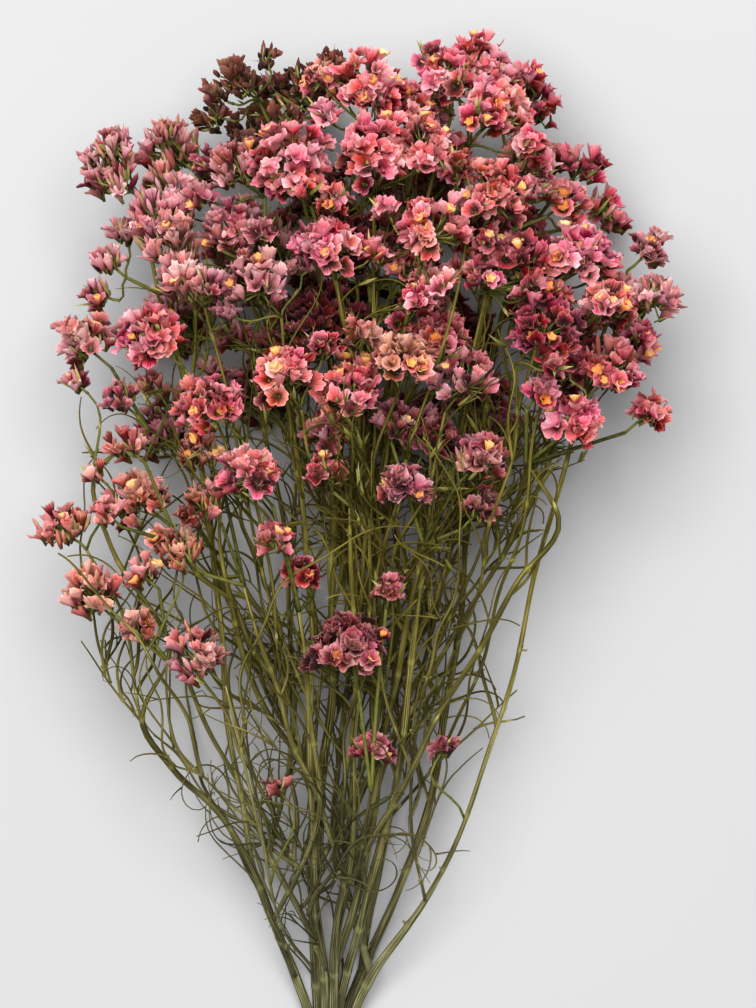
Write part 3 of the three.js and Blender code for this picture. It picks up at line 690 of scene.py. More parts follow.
LOBES = 5
TUBE_END = 0.28  # the share of a calyx's length that is its tube
TUBE_R, THROAT_R = 0.42, 0.62  # its tube's radius at the foot and where it opens
FLORETS = {  # copies; ranges of mouth (or width), length, openness, notch, ruffle; columns, rings; scales
    "open": (9, ((3.6, 4.5), (5.0, 6.2), (0.7, 1.0), (0.12, 0.26), (0.9, 1.4)), (25, 5), 1, 3.2),
    "half": (8, ((3.0, 3.8), (5.8, 6.8), (0.35, 0.65), (0.12, 0.28), (0.8, 1.2)), (25, 4), 2, 3.6),
    "fan": (6, ((2.2, 3.0), (6.2, 7.4), (0.0, 0.25), (0.2, 0.45), (0.5, 0.9)), (20, 4), 2, 5.0),
    "bud": (7, ((0.85, 1.25), (6.4, 9.0)), None, 3, 5.2),
    "plain": (6, ((3.4, 4.2), (5.2, 6.2), (0.5, 0.9), (0.3, 0.45), (0.5, 0.9)), (15, 3), 0, 0.0),
    "seed": (5, ((1.1, 1.5), (3.8, 5.2)), None, 2, 2.0),
}
HALF, PLAIN = 1, 4  # the places of these kinds above; up to HALF they are wide ones
FLOWERS, FLOWER_SIZE, FLOWER_BASE, FLOWER_HEIGHT = 6, (1.7, 2.65), 2.9, (2.2, 3.2)
SCALE_WIDTH, SCALE_LIFT = 1.25, 0.75
WAVES = (10, 0.35), (3, 0.45), (5, 0.4)  # of a rim: how many and how high
BUD_SWELL = [0, 0.25, 0.6, 0.85, 1], [0.4, 0.72, 1.0, 0.62, 0.1]  # along a bud, and its width there


def calyx(rng, mouth, length, open_, notch, ruffle, columns, rings):
    """A papery funnel with five frilled lobes. open_ is 1 for a wide, flat mouth and less for a fan."""
    angle = angles(columns)
    s = np.linspace(0, 1, rings) ** 0.9
    limb = np.clip((s - TUBE_END) / (1 - TUBE_END), 0, 1)[:, None]
    place = np.arange(columns) * LOBES / columns
    number = place.astype(int) % LOBES
    bump = np.sin(np.pi * (place % 1)) ** 0.55
    wide = rng.uniform(0.84, 1.18, LOBES)[number]
    lift = rng.uniform(-1, 1, LOBES)[number]
    saw = np.where(np.arange(columns) % 2, 1.0, -1.0)
    teeth = saw * rng.uniform(0.01, 0.05, columns) + rng.uniform(-0.045, 0.045, columns)
    bell = limb ** (1.25 - 0.35 * (1 - open_))
    outline = (1 - notch * (1 - bump) * limb ** 1.6) * (1 + (wide - 1) * bump * limb)
    r = TUBE_R + (THROAT_R - TUBE_R) * np.minimum(s[:, None] / TUBE_END, 1)
    r = r + (mouth - THROAT_R) * bell * outline
    r = r * (1 + teeth * limb ** 5)
    waves = sum(np.cos(count * angle + rng.uniform(0, 6)) * size for count, size in WAVES)
    height = length * (s[:, None] - 0.3 * open_ * limb ** 2)
    height = height + limb ** 1.5 * ruffle * (lift * bump + waves) + limb ** 2 * 0.12 * saw
    crumple = rng.normal(size=(2, rings, columns))
    for _ in range(3):
        crumple = (np.roll(crumple, 1, axis=2) + 2 * crumple + np.roll(crumple, -1, axis=2)) / 4
    r = r + crumple[0] * limb * 0.25
    height = height + crumple[1] * limb * 0.55
    round_ = angle + rng.uniform(-0.25, 0.25) * s[:, None]
    points = np.stack([r * np.cos(round_), r * np.sin(round_), height], axis=-1).reshape(-1, 3)
    return points, [grid(rings, columns)], turn_of(angle, rings), np.repeat(s, columns)


def bud(rng, width, length, columns=6, rings=5):
    """A closed, pleated calyx: narrow, a little twisted and pointed."""
    angle = angles(columns)
    s = np.linspace(0, 1, rings)
    swell = np.interp(s, *BUD_SWELL)
    pleat = np.where(np.arange(columns) % 2, 1.0, 0.78)
    r = width * swell[:, None] * (1 - (1 - pleat) * np.minimum(s[:, None] * 2, 1))
    round_ = angle + s[:, None] * rng.uniform(0.4, 1.3)
    bow = rng.uniform(-0.7, 0.7, 2)
    x = r * np.cos(round_) + bow[0] * s[:, None] ** 2
    y = r * np.sin(round_) + bow[1] * s[:, None] ** 2
    points = np.stack([x, y, np.broadcast_to(s[:, None] * length, x.shape)], axis=-1).reshape(-1, 3)
    return points, [grid(rings, columns)], turn_of(angle, rings), np.repeat(0.25 + 0.75 * s, columns)


def corolla(rng, size, base, height):
    """The small true flower inside: blunt petals of unlike length that stand up out of the throat."""
    columns = 3 * LOBES
    angle = angles(columns)
    lobe = np.where(np.arange(columns) % 3 == 0, 0.66, 1.0) * np.repeat(rng.uniform(0.7, 1.1, LOBES), 3)
    s = np.array([0.0, 0.5, 0.85, 1.0])[:, None]
    r = 0.3 + (size - 0.3) * np.array([0.0, 0.62, 1.0, 0.94])[:, None] * (1 - (1 - lobe) * s)
    z = base + height * np.array([0.0, 0.55, 0.95, 1.12])[:, None] + 0.3 * s * rng.uniform(-1, 1, columns)
    points = np.stack([r * np.cos(angle), r * np.sin(angle), z], axis=-1).reshape(-1, 3)
    return points, [grid(len(s), columns)], turn_of(angle, len(s)), np.repeat(s.ravel(), columns)


def scale_leaf(length, width, lift):
    """A narrow pointed scale along +Z that hugs what it grows on, at x = lift."""
    rows = np.array([0, 0.45, 1.0])
    half = width * np.array([0.4, 0.5, 0.03])
    points, turn = [], []
    for s, w in zip(rows, half):
        out = lift * (0.55 + 0.75 * s)
        for k in (-1, 0, 1):
            points.append([out - abs(k) * w * 0.35, k * w, s * length])
            turn.append([k, 0, 0])
    return np.array(points), [grid(3, 3, closed=False)], np.array(turn, float), np.repeat(rows, 3)


def scales_round(rng, count, length):
    """Scales round the foot of a floret."""
    parts = []
    for k in range(count):
        points, faces, turn, reach = scale_leaf(length * rng.uniform(0.8, 1.2), SCALE_WIDTH, SCALE_LIFT)
        spin = FULL_TURN * (k / count + rng.uniform(-0.1, 0.1))
        c, s = math.cos(spin), math.sin(spin)
        parts.append((points @ np.array([[c, s, 0], [-s, c, 0], [0, 0, 1]]), faces, turn, reach, GREEN))
    return parts


def make_templates(rng):
    """Florets of each kind and true flowers, ready to be copied: a list of parts for each."""
    kinds = []
    for copies, ranges, size, scales, scale_length in FLORETS.values():
        kinds.append([])
        for _ in range(copies):
            form = [rng.uniform(*low_and_high) for low_and_high in ranges]
            shell = calyx(rng, *form, *size) if size else bud(rng, *form)
            kinds[-1].append([(*shell, PAPER), *scales_round(rng, scales, scale_length)])
    flowers = []
    for _ in range(FLOWERS):
        size, height = rng.uniform(*FLOWER_SIZE), rng.uniform(*FLOWER_HEIGHT)
        flowers.append([(*corolla(rng, size, FLOWER_BASE, height), YELLOW)])
    return kinds, flowers


# ---------------------------------------------------------------- the heads

MIXES = {  # shares of the kinds; lean up the bunch; spacing; bracts for a millimetre of radius, their length
    "open": ((0.46, 0.36, 0.14, 0.04, 0, 0), 0.7, 4.8, 0.6, (5, 9.5)),
    "mixed": ((0.16, 0.36, 0.30, 0.18, 0, 0), 1.2, 4.5, 0.6, (5, 9.5)),
    "buds": ((0.03, 0.17, 0.32, 0.48, 0, 0), 1.9, 3.9, 1.2, (5, 9.5)),
    "seeds": ((0, 0.03, 0.08, 0.09, 0, 0.80), 0.8, 3.5, 0.3, (2.5, 4.75)),
}
MIX_OF = {  # the sprays of each mix; the others are open
    "seeds": ("back_left_crown",),
    "buds": ("left_tip", "left_crown", "left_side", "left_buds", "chain", "left_out", "under_left",
             "under_far_left"),
    "mixed": ("right_tip", "front_left_low", "left_low", "side_tip", "back_right_crown", "front_dull",
              "middle_dark", "right_hang", "under_low", "under_left_low", "heart", "heart_low", "low_left",
              "left_foot", "left_shoulder"),
}
GAPS = {"back_right_crown": 0.45, "right_tip": 0.3, "left_low": 0.25}  # share of their places left bare
USUAL_GAPS, BARE_SHARE = 0.08, 0.75  # that share elsewhere, and below a head or in its cleft
CLEFT = 0.13  # half the width of the gap that splits a head, as a share of its radius
CLEFT_FROM = 8  # smaller heads have no cleft
COVERED = (1 - math.cos(math.radians(112))) / 2  # share of a head's ball that florets stand on
GOLDEN_ANGLE = 2.399963
FLORET_LENGTH, FLORET_SIZES = 5.6, (0.82, 1.16)
SMALL_HEAD, SMALL_SIZE = 10, 0.93  # below this radius a head's florets are smaller by that
OUT, LUMP, FOLD, UPPER = 0.84, 0.12, 0.2, 0.1  # how far out florets stand, and what shapes the head
OUT_RANGE, CLEFT_SIDES = (0.76, 1.08), (1.05, 0.9)  # its chance, and the two sides of the cleft
LOOKS_DOWN = -0.3  # florets that look further down the bunch than this are few
HEAD_TINTS, TINT_SPREAD = (0.36, 0.64), 0.22
FORK_RADII, TWIGLET_RADII, THREAD_RADII = (0.55, 0.5, 0.5), (0.46, 0.38, 0.36), (0.3, 0.36)
LOWER_SIDE_SHADE = 0.45  # painted shade: how much darker the florets on a head's lower side are
FLOWERING = 0.14  # share of the wide florets that show their yellow flower
HIDDEN_Z = -0.15  # florets that face further down than this, or grow near the surface, are plainer
LOW_Z = 50.0
TINT_TURN = 37.0  # moves each copy's pleats on in their noise
SIDE_LOW = 222  # heads below this have no clusters beside them
DEEP = ("under", "heart", "right_dark")  # how the names of the sprays deep in the bunch begin
SPARSE = ("back_right", "right_tip")  # and of those whose heads stand apart
DEEP_TRIES, SIDE_TRIES, SPARSE_FEWER = 26, 7, 5  # attempts at a small cluster beside each head
SIDE_RADII = (4.0, 7.0)


def turn_to(axis, spin):
    """Rotations that take +Z to each axis, turned by spin about it first. Rows are the new X, Y, Z."""
    axis = axis / np.linalg.norm(axis, axis=1, keepdims=True)
    helper = np.where(np.abs(axis[:, :1]) < 0.8, [[1.0, 0, 0]], [[0, 1.0, 0]])
    x = np.cross(helper, axis)
    x /= np.linalg.norm(x, axis=1, keepdims=True)
    y = np.cross(axis, x)
    c, s = np.cos(spin)[:, None], np.sin(spin)[:, None]
    return np.stack([x * c + y * s, y * c - x * s, axis], axis=1)


def turn_one(axis, spin=0.0):
    """The same for one axis."""
    return turn_to(axis[None], np.array([spin]))[0]


def way_across(axis, rng):
    """Some way at a right angle to an axis."""
    aside = rng.normal(size=3)
    return unit(aside - axis * dot(aside, axis))


def add_copies(gathered, parts, bases, axes, spins, sizes, tints):
    """Copies of a template's parts, each with its own place, axis, spin, size and tint."""
    turned = turn_to(axes, spins)
    n = len(bases)
    for points, faces, turn, reach, kind in parts:
        v = len(points)
        placed = np.einsum("vk,nkj->nvj", points, turned) * sizes[:, None, None] + bases[:, None]
        own = np.tile(turn, (n, 1)).reshape(n, v, 3).copy()
        own[:, :, 2] += tints[:, None] * TINT_TURN
        steps = (np.arange(n) * v)[:, None, None]
        shapes = [(shape[None] + steps).reshape(-1, shape.shape[1]) for shape in faces]
        gathered.add(placed, shapes, own.reshape(-1, 3), np.tile(reach, n), np.repeat(tints, v), kind)


def add_picked(gathered, templates, which, florets, rng, sway=0.0):
    """Gives each of the chosen florets a copy of one of the templates."""
    pick = rng.integers(0, len(templates), len(which))
    for t, parts in enumerate(templates):
        chosen = which[pick == t]
        if len(chosen):
            bases, axes, *others = (values[chosen] for values in florets)
            if sway:
                axes = axes + rng.normal(size=axes.shape) * sway
            add_copies(gathered, parts, bases, axes, *others)


def head_directions(axis, radius, rng, spacing):
    """Directions spread over the upper part of a head, a floret's width apart."""
    count = max(4, int(4 * math.pi * (0.9 * radius) ** 2 * COVERED / (spacing ** 2 * 0.87)))
    n = np.arange(count)
    height = 1 - (n + 0.5) / count * 2 * COVERED
    height = np.clip(height + rng.uniform(-0.5, 0.5, count) * 2 * COVERED / count, -1, 1)
    round_ = n * GOLDEN_ANGLE + rng.uniform(0, 6.28) + rng.uniform(-0.5, 0.5, count)
    flat = np.sqrt(1 - height ** 2)
    local = np.stack([flat * np.cos(round_), flat * np.sin(round_), height], axis=1)
    return local @ turn_one(axis)


def add_head(gathered, head, mix, templates, others, rng, gaps=USUAL_GAPS):
    """A flower head: its florets, the thin forks that carry them, and bracts below."""
    kinds, flowers = templates
    shares, lean, spacing, bracts, bract_lengths = MIXES[mix]
    middle, radius, axis = head["middle"], head["radius"], head["axis"]
    upward = unit(axis + 0.5 * Y_AXIS)
    directions = head_directions(upward, radius, rng, spacing)
    below = directions[:, 1] < LOOKS_DOWN
    cleft = directions @ unit(rng.normal(size=3)) - rng.uniform(-0.45, 0.45)
    split = (np.abs(cleft) < CLEFT) & (radius > CLEFT_FROM)
    kept = rng.random(len(directions)) > np.where(below | split, BARE_SHARE, gaps)
    directions, cleft = directions[kept], cleft[kept]
    places = middle + directions * radius * 0.95
    for other in others:  # heads that meet have no florets inside each other
        if other is not head and np.linalg.norm(other["middle"] - middle) < radius + other["radius"]:
            clear = np.linalg.norm(places - other["middle"], axis=1) > other["radius"] * 0.84
            directions, places, cleft = directions[clear], places[clear], cleft[clear]
    if len(directions) < 2:
        directions = axis[None] + rng.normal(size=(2, 3)) * 0.2
        directions /= np.linalg.norm(directions, axis=1, keepdims=True)
        cleft = np.ones(2)
    n = len(directions)
    lump, dent, fold = (directions @ unit(rng.normal(size=3)) for _ in range(3))
    out = radius * (OUT + LUMP * lump + FOLD * dent * fold + UPPER * directions[:, 1])
    out *= rng.uniform(*OUT_RANGE, n) * np.where(cleft > 0, *CLEFT_SIDES)
    kind = rng.choice(len(shares), n, p=np.array(shares) / sum(shares))
    size = rng.uniform(*FLORET_SIZES, n) * (SMALL_SIZE if radius < SMALL_HEAD else 1.0)
    axes = directions + lean * (0.3 * axis + 0.7 * Y_AXIS) + rng.normal(size=(n, 3)) * 0.3
    axes /= np.linalg.norm(axes, axis=1, keepdims=True)
    bases = middle + directions * out[:, None] - axes * (FLORET_LENGTH * size)[:, None] * 0.9
    tints = np.clip(rng.normal(rng.uniform(*HEAD_TINTS), TINT_SPREAD, n) + 0.2 * dent, 0, 1)
    # painted shade: florets on each head's lower side, down the bunch and toward the surface, are darkened as
    # if shaded from light above
    shade_below = np.clip(0.45 - directions @ unit(Y_AXIS + Z_AXIS), 0, 1)
    tints = np.clip(tints - LOWER_SIDE_SHADE * shade_below, 0, 1)
    spins = rng.uniform(0, FULL_TURN, n)
    hidden = (directions[:, 2] < HIDDEN_Z) | (middle[2] < LOW_Z)
    kind = np.where(hidden & (kind <= HALF), PLAIN, kind)
    florets = bases, axes, spins, size, tints
    for k, of_kind in enumerate(kinds):
        add_picked(gathered, of_kind, np.flatnonzero(kind == k), florets, rng)
    flowering = np.flatnonzero((kind <= HALF) & (rng.random(n) < FLOWERING))
    add_picked(gathered, flowers, flowering, florets, rng, 0.2)
    add_twiglets(gathered, head, bases, axes, directions, rng)
    for _ in range(int(radius * bracts)):
        aside = way_across(axis, rng)
        place = middle + (aside * rng.uniform(0.15, 0.5) - axis * rng.uniform(0.1, 0.6)) * radius
        length = rng.uniform(*bract_lengths)
        add_bract(gathered, place, unit(aside * 0.7 + axis * 0.7 + Y_AXIS * 0.5), length, rng)


def add_twiglets(gathered, head, bases, axes, directions, rng):
    """Thin forks from the foot of a head to each of its florets, with narrow bracts at the forks."""
    middle, radius, axis, start = head["middle"], head["radius"], head["axis"], head["foot"]
    crotch = middle - axis * radius * 0.5
    line = [start, (start + crotch) / 2 + rng.normal(size=3) * 0.15, crotch]
    add_tube(gathered, line, FORK_RADII, 5, 0.5)
    hubs = min(len(bases), max(2, len(bases) // 6))
    hub_way = directions[rng.choice(len(bases), hubs, replace=False)]
    nearest = np.argmax(directions @ hub_way.T, axis=1)
    places = middle + hub_way * radius * 0.12 - axis * radius * 0.12
    for place, way in zip(places, hub_way):
        line = [crotch, crotch * 0.45 + place * 0.55 + axis * 0.4, place]
        add_tube(gathered, line, TWIGLET_RADII, 4, 0.4)
        add_bract(gathered, place, unit(way + axis * 0.6), rng.uniform(3.5, 6.5), rng)
    for a, c in zip(places[nearest], bases + axes * 0.5):
        add_tube(gathered, [a, c], THREAD_RADII, 3, 0.6, reach=0.2)


def add_bract(gathered, place, way, length, rng, widths=(0.9, 1.5), lift=0.5, dry=1.0):
    """A narrow bract or leaf. dry is how far its colour goes toward the pink of dry tips."""
    leaf, faces, turn, reach = scale_leaf(length, rng.uniform(*widths), lift)
    placed = place + leaf @ turn_one(way, rng.uniform(0, 6.28))
    gathered.add(placed, faces, turn, reach * dry, rng.random(), GREEN)


def is_inside(points, room):
    """Whether all the points are inside the bunch's outline, with room to spare, and above the floor."""
    points = np.atleast_2d(points)
    up, left, right, top = np.array(OUTLINE, float).T
    x, y, z = points.T
    return ((x > room - np.interp(y, up, left)) & (x < np.interp(y, up, right) - room)
            & (y < up[-1] + 3 - room) & (z > max(room, 0) + 1.2) & (z < np.interp(y, up, top) - room)).all()


def side_clusters(sprays, rng):
    """Small clusters of florets on branchlets beside the heads, wherever there is room for them."""
    taken = [(head["middle"], head["radius"]) for spray in sprays for head in spray["heads"]]
    for spray in sprays:
        spray["beside"] = []
        tries = DEEP_TRIES if spray["name"].startswith(DEEP) else SIDE_TRIES
        tries -= SPARSE_FEWER * spray["name"].startswith(SPARSE)
        near = 0.62 if tries == DEEP_TRIES else 0.78
        for head in spray["heads"]:
            axis = head["axis"]
            for _ in range(tries if head["radius"] >= 8 else tries // 2):
                aside = way_across(axis, rng)
                radius = rng.uniform(*SIDE_RADII)
                away = head["radius"] * 0.92 + radius * rng.uniform(0.75, 1.25)
                middle = head["middle"] + unit(aside + axis * rng.uniform(-0.55, 0.35)) * away
                low = SIDE_LOW + rng.uniform(0, 70) * (tries == SIDE_TRIES)
                if middle[1] < low or not is_inside(middle, radius * 0.7):
                    continue
                if any(np.linalg.norm(middle - m) < (r + radius) * near for m, r in taken
                       if m is not head["middle"]):
                    continue
                small = make_head(*middle, radius, unit(facing(middle[0], middle[2]) + aside * 0.5))
                taken.append((small["middle"], radius))
                spray["beside"].append((head, small))


def add_strays(sprays, wood):
    """The small clusters low on the stems, each on a stalk from the wood below it."""
    for spray in sprays:
        for place in STRAYS.get(spray["name"], ()):
            stray = make_head(*place)
            below = stray["foot"] - Y_AXIS * STRAY_STALK
            fork = min((point["p"] for point in wood), key=lambda p: np.linalg.norm(p - below))
            spray["beside"].append((dict(foot=fork, axis=Y_AXIS), stray))


def add_branchlet(gathered, head, small, rng):
    """A thin curved stalk from the foot of a head to a small cluster beside it."""
    start, end = head["foot"], small["foot"]
    reach = np.linalg.norm(end - start)
    out = unit(head["axis"] + unit(end - start))
    line = np.vstack([start, curve_places(start, out, end, small["axis"], max(2.5, reach / 6))])
    add_tube(gathered, line, np.linspace(0.5, 0.4, len(line)), 5, rng.random())
    if reach > 8:
        place, after = line[len(line) // 2:][:2]
        add_bract(gathered, place, unit(after - place + rng.normal(size=3) * 0.5), 4.0, rng)


# ---------------------------------------------------------------- the stems

LEAFY_Y = 150  # above this the forks of bare twigs have narrow leaves
LEAF_WIDTHS, LEAF_LIFT, LEAF_DRY = (1.0, 1.7), 0.6, 0.5
HEAD_ROOM = 0.85  # how near bare twigs come to the middle of a head, as a share of its radius
WAVER = 1.3  # how far the fine wood sways to each side
WOOD_SHARE = 0.8  # the fine wood's thickness as a share of the solids'
FIRST_JOINT, NEXT_JOINT, LAST_JOINT = (6, 16), (18, 44), 4  # places of joints; the last one's room at the end
JOINT_STEPS = (-1.6, -0.6, 0.0, 0.7, 1.8)  # rings round a joint, so that its swelling shows
JOINT_CRUMBS, FORK_CRUMBS = 0.4, 0.35  # shares of the joints and forks that are crumbly
CURL_STEP = 2.3
BARE_TWIGS = (  # count, from and to how far up, lengths, radii, curls, how late they curl, spread, forks
    (62, -30, 140, (60, 150), (0.5, 0.95), (0.4, 2.2), 1, (0.3, 0.8), (1, 3)),
    (80, 30, 200, (22, 80), (0.4, 0.75), (0.4, 2.8), 1, (0.4, 1.0), (0, 3)),
    (200, 165, 290, (18, 60), (0.35, 0.65), (0.3, 1.8), 1, (0.3, 0.8), (1, 4)),
    (80, -80, 200, (20, 70), (0.28, 0.5), (1.5, 6.0), 2, (0.5, 1.6), (0, 2)),
    (34, 5, 90, (25, 75), (0.32, 0.5), (2.0, 5.5), 1, (0.5, 1.4), (0, 3)),
)
TRIES_EACH = 8


def add_wood(gathered, line, radii_at, rng, step, sides, ribs=0):
    """A stem or branch with its joints: a small swelling and a pointed scale at each."""
    length = gone_along(line)[-1]
    joints = []
    at = rng.uniform(*FIRST_JOINT)
    while at < length - LAST_JOINT:
        joints.append(at)
        at += rng.uniform(*NEXT_JOINT)
    line, gone = evenly(line, step, [joint + d for joint in joints for d in JOINT_STEPS])
    share = gone / max(gone[-1], 1e-6)
    _, *asides = frames_along(line)
    ends = np.sin(np.pi * share)[:, None]
    for aside in asides:
        swing = np.sin(gone / rng.uniform(7.0, 14.0) + rng.uniform(0, 6.28))[:, None]
        line = line + aside * swing * ends * rng.uniform(0.3, WAVER)
    swell = np.zeros(len(line))
    for joint in joints:
        swell = np.maximum(swell, np.exp(-(gone - joint) ** 2))
    radii = WOOD_SHARE * np.interp(share, *radii_at) * (1 + 0.1 * swell)
    radii = radii * (1 + 0.04 * np.sin(gone * 0.31 + rng.uniform(0, 6)))
    points, faces, turn = tube(line, radii, sides, ribs)
    reach = np.concatenate([np.repeat(swell, sides), [0, 0]])
    gathered.add(points, faces, turn, reach, rng.random(), WOOD)
    way, across, up = frames_along(line)
    for joint in joints:
        n = int(np.argmin(np.abs(gone - joint)))
        spin = rng.uniform(0, FULL_TURN)
        outward = across[n] * math.cos(spin) + up[n] * math.sin(spin)
        leaf, faces, turn, _ = scale_leaf(rng.uniform(2.0, 3.6), rng.uniform(0.6, 1.0), 1.0)
        leaf[:, 0] = radii[n] * 0.92 + (leaf[:, 0] - 0.55) * 0.8
        placed = line[n] + leaf @ np.array([outward, np.cross(way[n], outward), way[n]])
        gathered.add(placed, faces, turn, 0.5, rng.random(), GREEN)
        if rng.random() < JOINT_CRUMBS:
            add_crumbs(gathered, line[n] + outward * radii[n], rng.uniform(0.7, 1.3), rng)
    return line, radii


def add_crumbs(gathered, place, size, rng):
    """A crumbly yellow-green knob of dry tissue where a joint has broken open."""
    for _ in range(rng.integers(3, 7)):
        middle = place + rng.normal(size=3) * size * 0.55
        half = unit(rng.normal(size=3)) * size * 0.45
        radii = size * np.array([0.2, rng.uniform(0.35, 0.5), 0.15])
        add_tube(gathered, [middle - half, middle, middle + half], radii, 5, rng.random(), WOOD, 1.0)


def add_sprig(gathered, line, radius, rng):
    """A thin bare twig with a fine tip."""
    radii = radius * np.linspace(1, 0.4, len(line))
    add_tube(gathered, line, radii, 5 if radius > 0.45 else 4, rng.random(), WOOD)


def curling_line(start, heading, length, curl, late, rng):
    """A line that wanders and turns by curl in all, the more toward its tip the larger late is."""
    count = max(4, int(length / CURL_STEP))
    axis = unit(Z_AXIS * rng.choice([-1, 1]) + rng.normal(size=3) * 0.45)
    turns = curl * (late + 1) * (np.arange(count) / count) ** late / count
    sway, phase = rng.uniform(0.05, 0.15), rng.uniform(0, 6.28)
    line = [np.array(start)]
    for n in range(count):
        turn = turns[n] + sway * math.cos(phase + n * 0.42)
        heading = unit(heading * math.cos(turn) + np.cross(axis, heading) * math.sin(turn)
                       + rng.normal(size=3) * 0.035)
        if line[-1][2] < 4:  # near the surface it turns up
            heading = unit(heading + Z_AXIS * 0.25)
        line.append(line[-1] + heading * length / count)
    return np.array(line)


class Crowd:
    """The places already taken, so that thin twigs keep clear of wood and flowers."""

    def __init__(self, wood_lines, heads):
        self.middles = np.array([head["middle"] for head in heads])
        self.radii = np.array([head["radius"] for head in heads])
        points = np.vstack([line for line, _ in wood_lines])
        self.thick = np.concatenate([radii for _, radii in wood_lines])
        self.tree = KDTree(len(points))
        for n, p in enumerate(points):
            self.tree.insert(p, n)
        self.tree.balance()

    def is_free(self, line, room, skip):
        """Whether a line keeps its room; the wood is left out for the first part, skip long."""
        far = np.linalg.norm(line[:, None] - self.middles[None], axis=2)
        if not is_inside(line, -2.5) or (far < self.radii * HEAD_ROOM).any():
            return False
        for p in line:
            if np.linalg.norm(p - line[0]) > skip:
                _, n, away = self.tree.find(p)
                if away < room + self.thick[n]:
                    return False
        return True


def start_of_twig(lines, rng, low, high):
    """A place on the wood between two heights up the bunch, and the way the wood grows there."""
    while True:
        number, line, _ = lines[rng.integers(len(lines))]
        n = rng.integers(1, len(line) - 1)
        if low < line[n][1] < high:
            return number, line[n], unit(line[n + 1] - line[n - 1])


def leaving(way, spread, rng):
    """A way that leaves another by about spread, to any side."""
    return unit(way + way_across(way, rng) * spread)


def grow_twig(gathered, line, length, radius, forks, crowd, rng):
    """A twig with its forks; nothing grows where there is no room for it."""
    if not crowd.is_free(line[1:], radius + 0.2, 3.2):
        return False
    add_sprig(gathered, line, radius, rng)
    for _ in range(forks):
        k = rng.integers(2, len(line) - 1)
        way = unit(line[k] - line[k - 1])
        prong = curling_line(line[k], leaving(way, rng.uniform(0.5, 1.2), rng),
                             length * rng.uniform(0.2, 0.5), rng.uniform(-1.6, 1.6), 1, rng)
        if crowd.is_free(prong[1:], radius * 0.8 + 0.2, 1.0):
            add_sprig(gathered, prong, radius * 0.75, rng)
            if line[k][1] > LEAFY_Y:
                add_bract(gathered, line[k], unit(prong[1] - line[k] + way), rng.uniform(5, 11), rng,
                          LEAF_WIDTHS, LEAF_LIFT, LEAF_DRY)
            elif rng.random() < FORK_CRUMBS:
                add_crumbs(gathered, line[k], radius * 1.7, rng)
    return True


def grow_bare_twigs(stems, lines, crowd, rng):
    """Long wandering twigs, short forked ones, and thin tendrils with curled tips."""
    for count, low, high, lengths, radii, curls, late, spread, forks in BARE_TWIGS:
        grown = 0
        for _ in range(count * TRIES_EACH):
            if grown == count:
                break
            number, place, way = start_of_twig(lines, rng, low, high)
            heading = unit(leaving(way, rng.uniform(*spread), rng) + Y_AXIS * 0.2)
            length, radius = rng.uniform(*lengths), rng.uniform(*radii)
            curl, forked = rng.uniform(*curls) * rng.choice([-1, 1]), rng.integers(*forks)
            line = curling_line(place, heading, length, curl, late, rng)
            grown += grow_twig(stems[number], line, length, radius, forked, crowd, rng)


# ---------------------------------------------------------------- materials

TONES = {  # for each tone: throat, deep, middle, bright and rim; throat and deep are partly the calyx's own colour, partly painted shade of the crevices between florets
    "coral": ("2e0806", "862426", "e0707c", "f4a4aa", "f8d2ce"),
    "pink": ("2a060a", "781c28", "da687a", "f09da8", "f6cad0"),
    "magenta": ("200408", "54101c", "b0485c", "d67686", "ecb2b8"),
    "dusky": ("2c0c0c", "6e2a30", "ca7880", "eca8ac", "f4d4d2"),
    "mauve": ("24080c", "64242a", "b8646e", "da929a", "ecc6c8"),
    # painted shade: a dark wine colour for sprays deep in the bunch, where shade falls between heads
    "peach": ("300e08", "7c322c", "da807a", "f2aea4", "f8d6cc"),
    "painted_shade_wine": ("180605", "3c1218", "74282e", "96444a", "b87a7a"),
    "brown": ("180804", "3a1a14", "6a3a30", "965a4e", "b88a7c"),
}
SHADE_OF = {  # the sprays whose tone differs from their slot's
    "brown": ("back_left_crown",),
    # painted shade: the deep sprays take the dark wine colour
    "painted_shade_wine": ("heart", "heart_low", "under_crown", "under_middle"),
    "peach": ("chain", "left_low", "left_out", "left_foot", "front_bright"),
    "coral": ("band_far_left", "right_shoulder"),
    "pink": ("back_right_crown",),
    "dusky": ("low_left", "side_tip"),
    "mauve": ("middle_foot", "middle_dark", "front_dull", "low_front", "left_shoulder"),
}
SPECULAR = 0.18


def srgb(code):
    values = [int(code[n:n + 2], 16) / 255 for n in (0, 2, 4)]
    return [*(v / 12.92 if v <= 0.04045 else ((v + 0.055) / 1.055) ** 2.4 for v in values), 1.0]


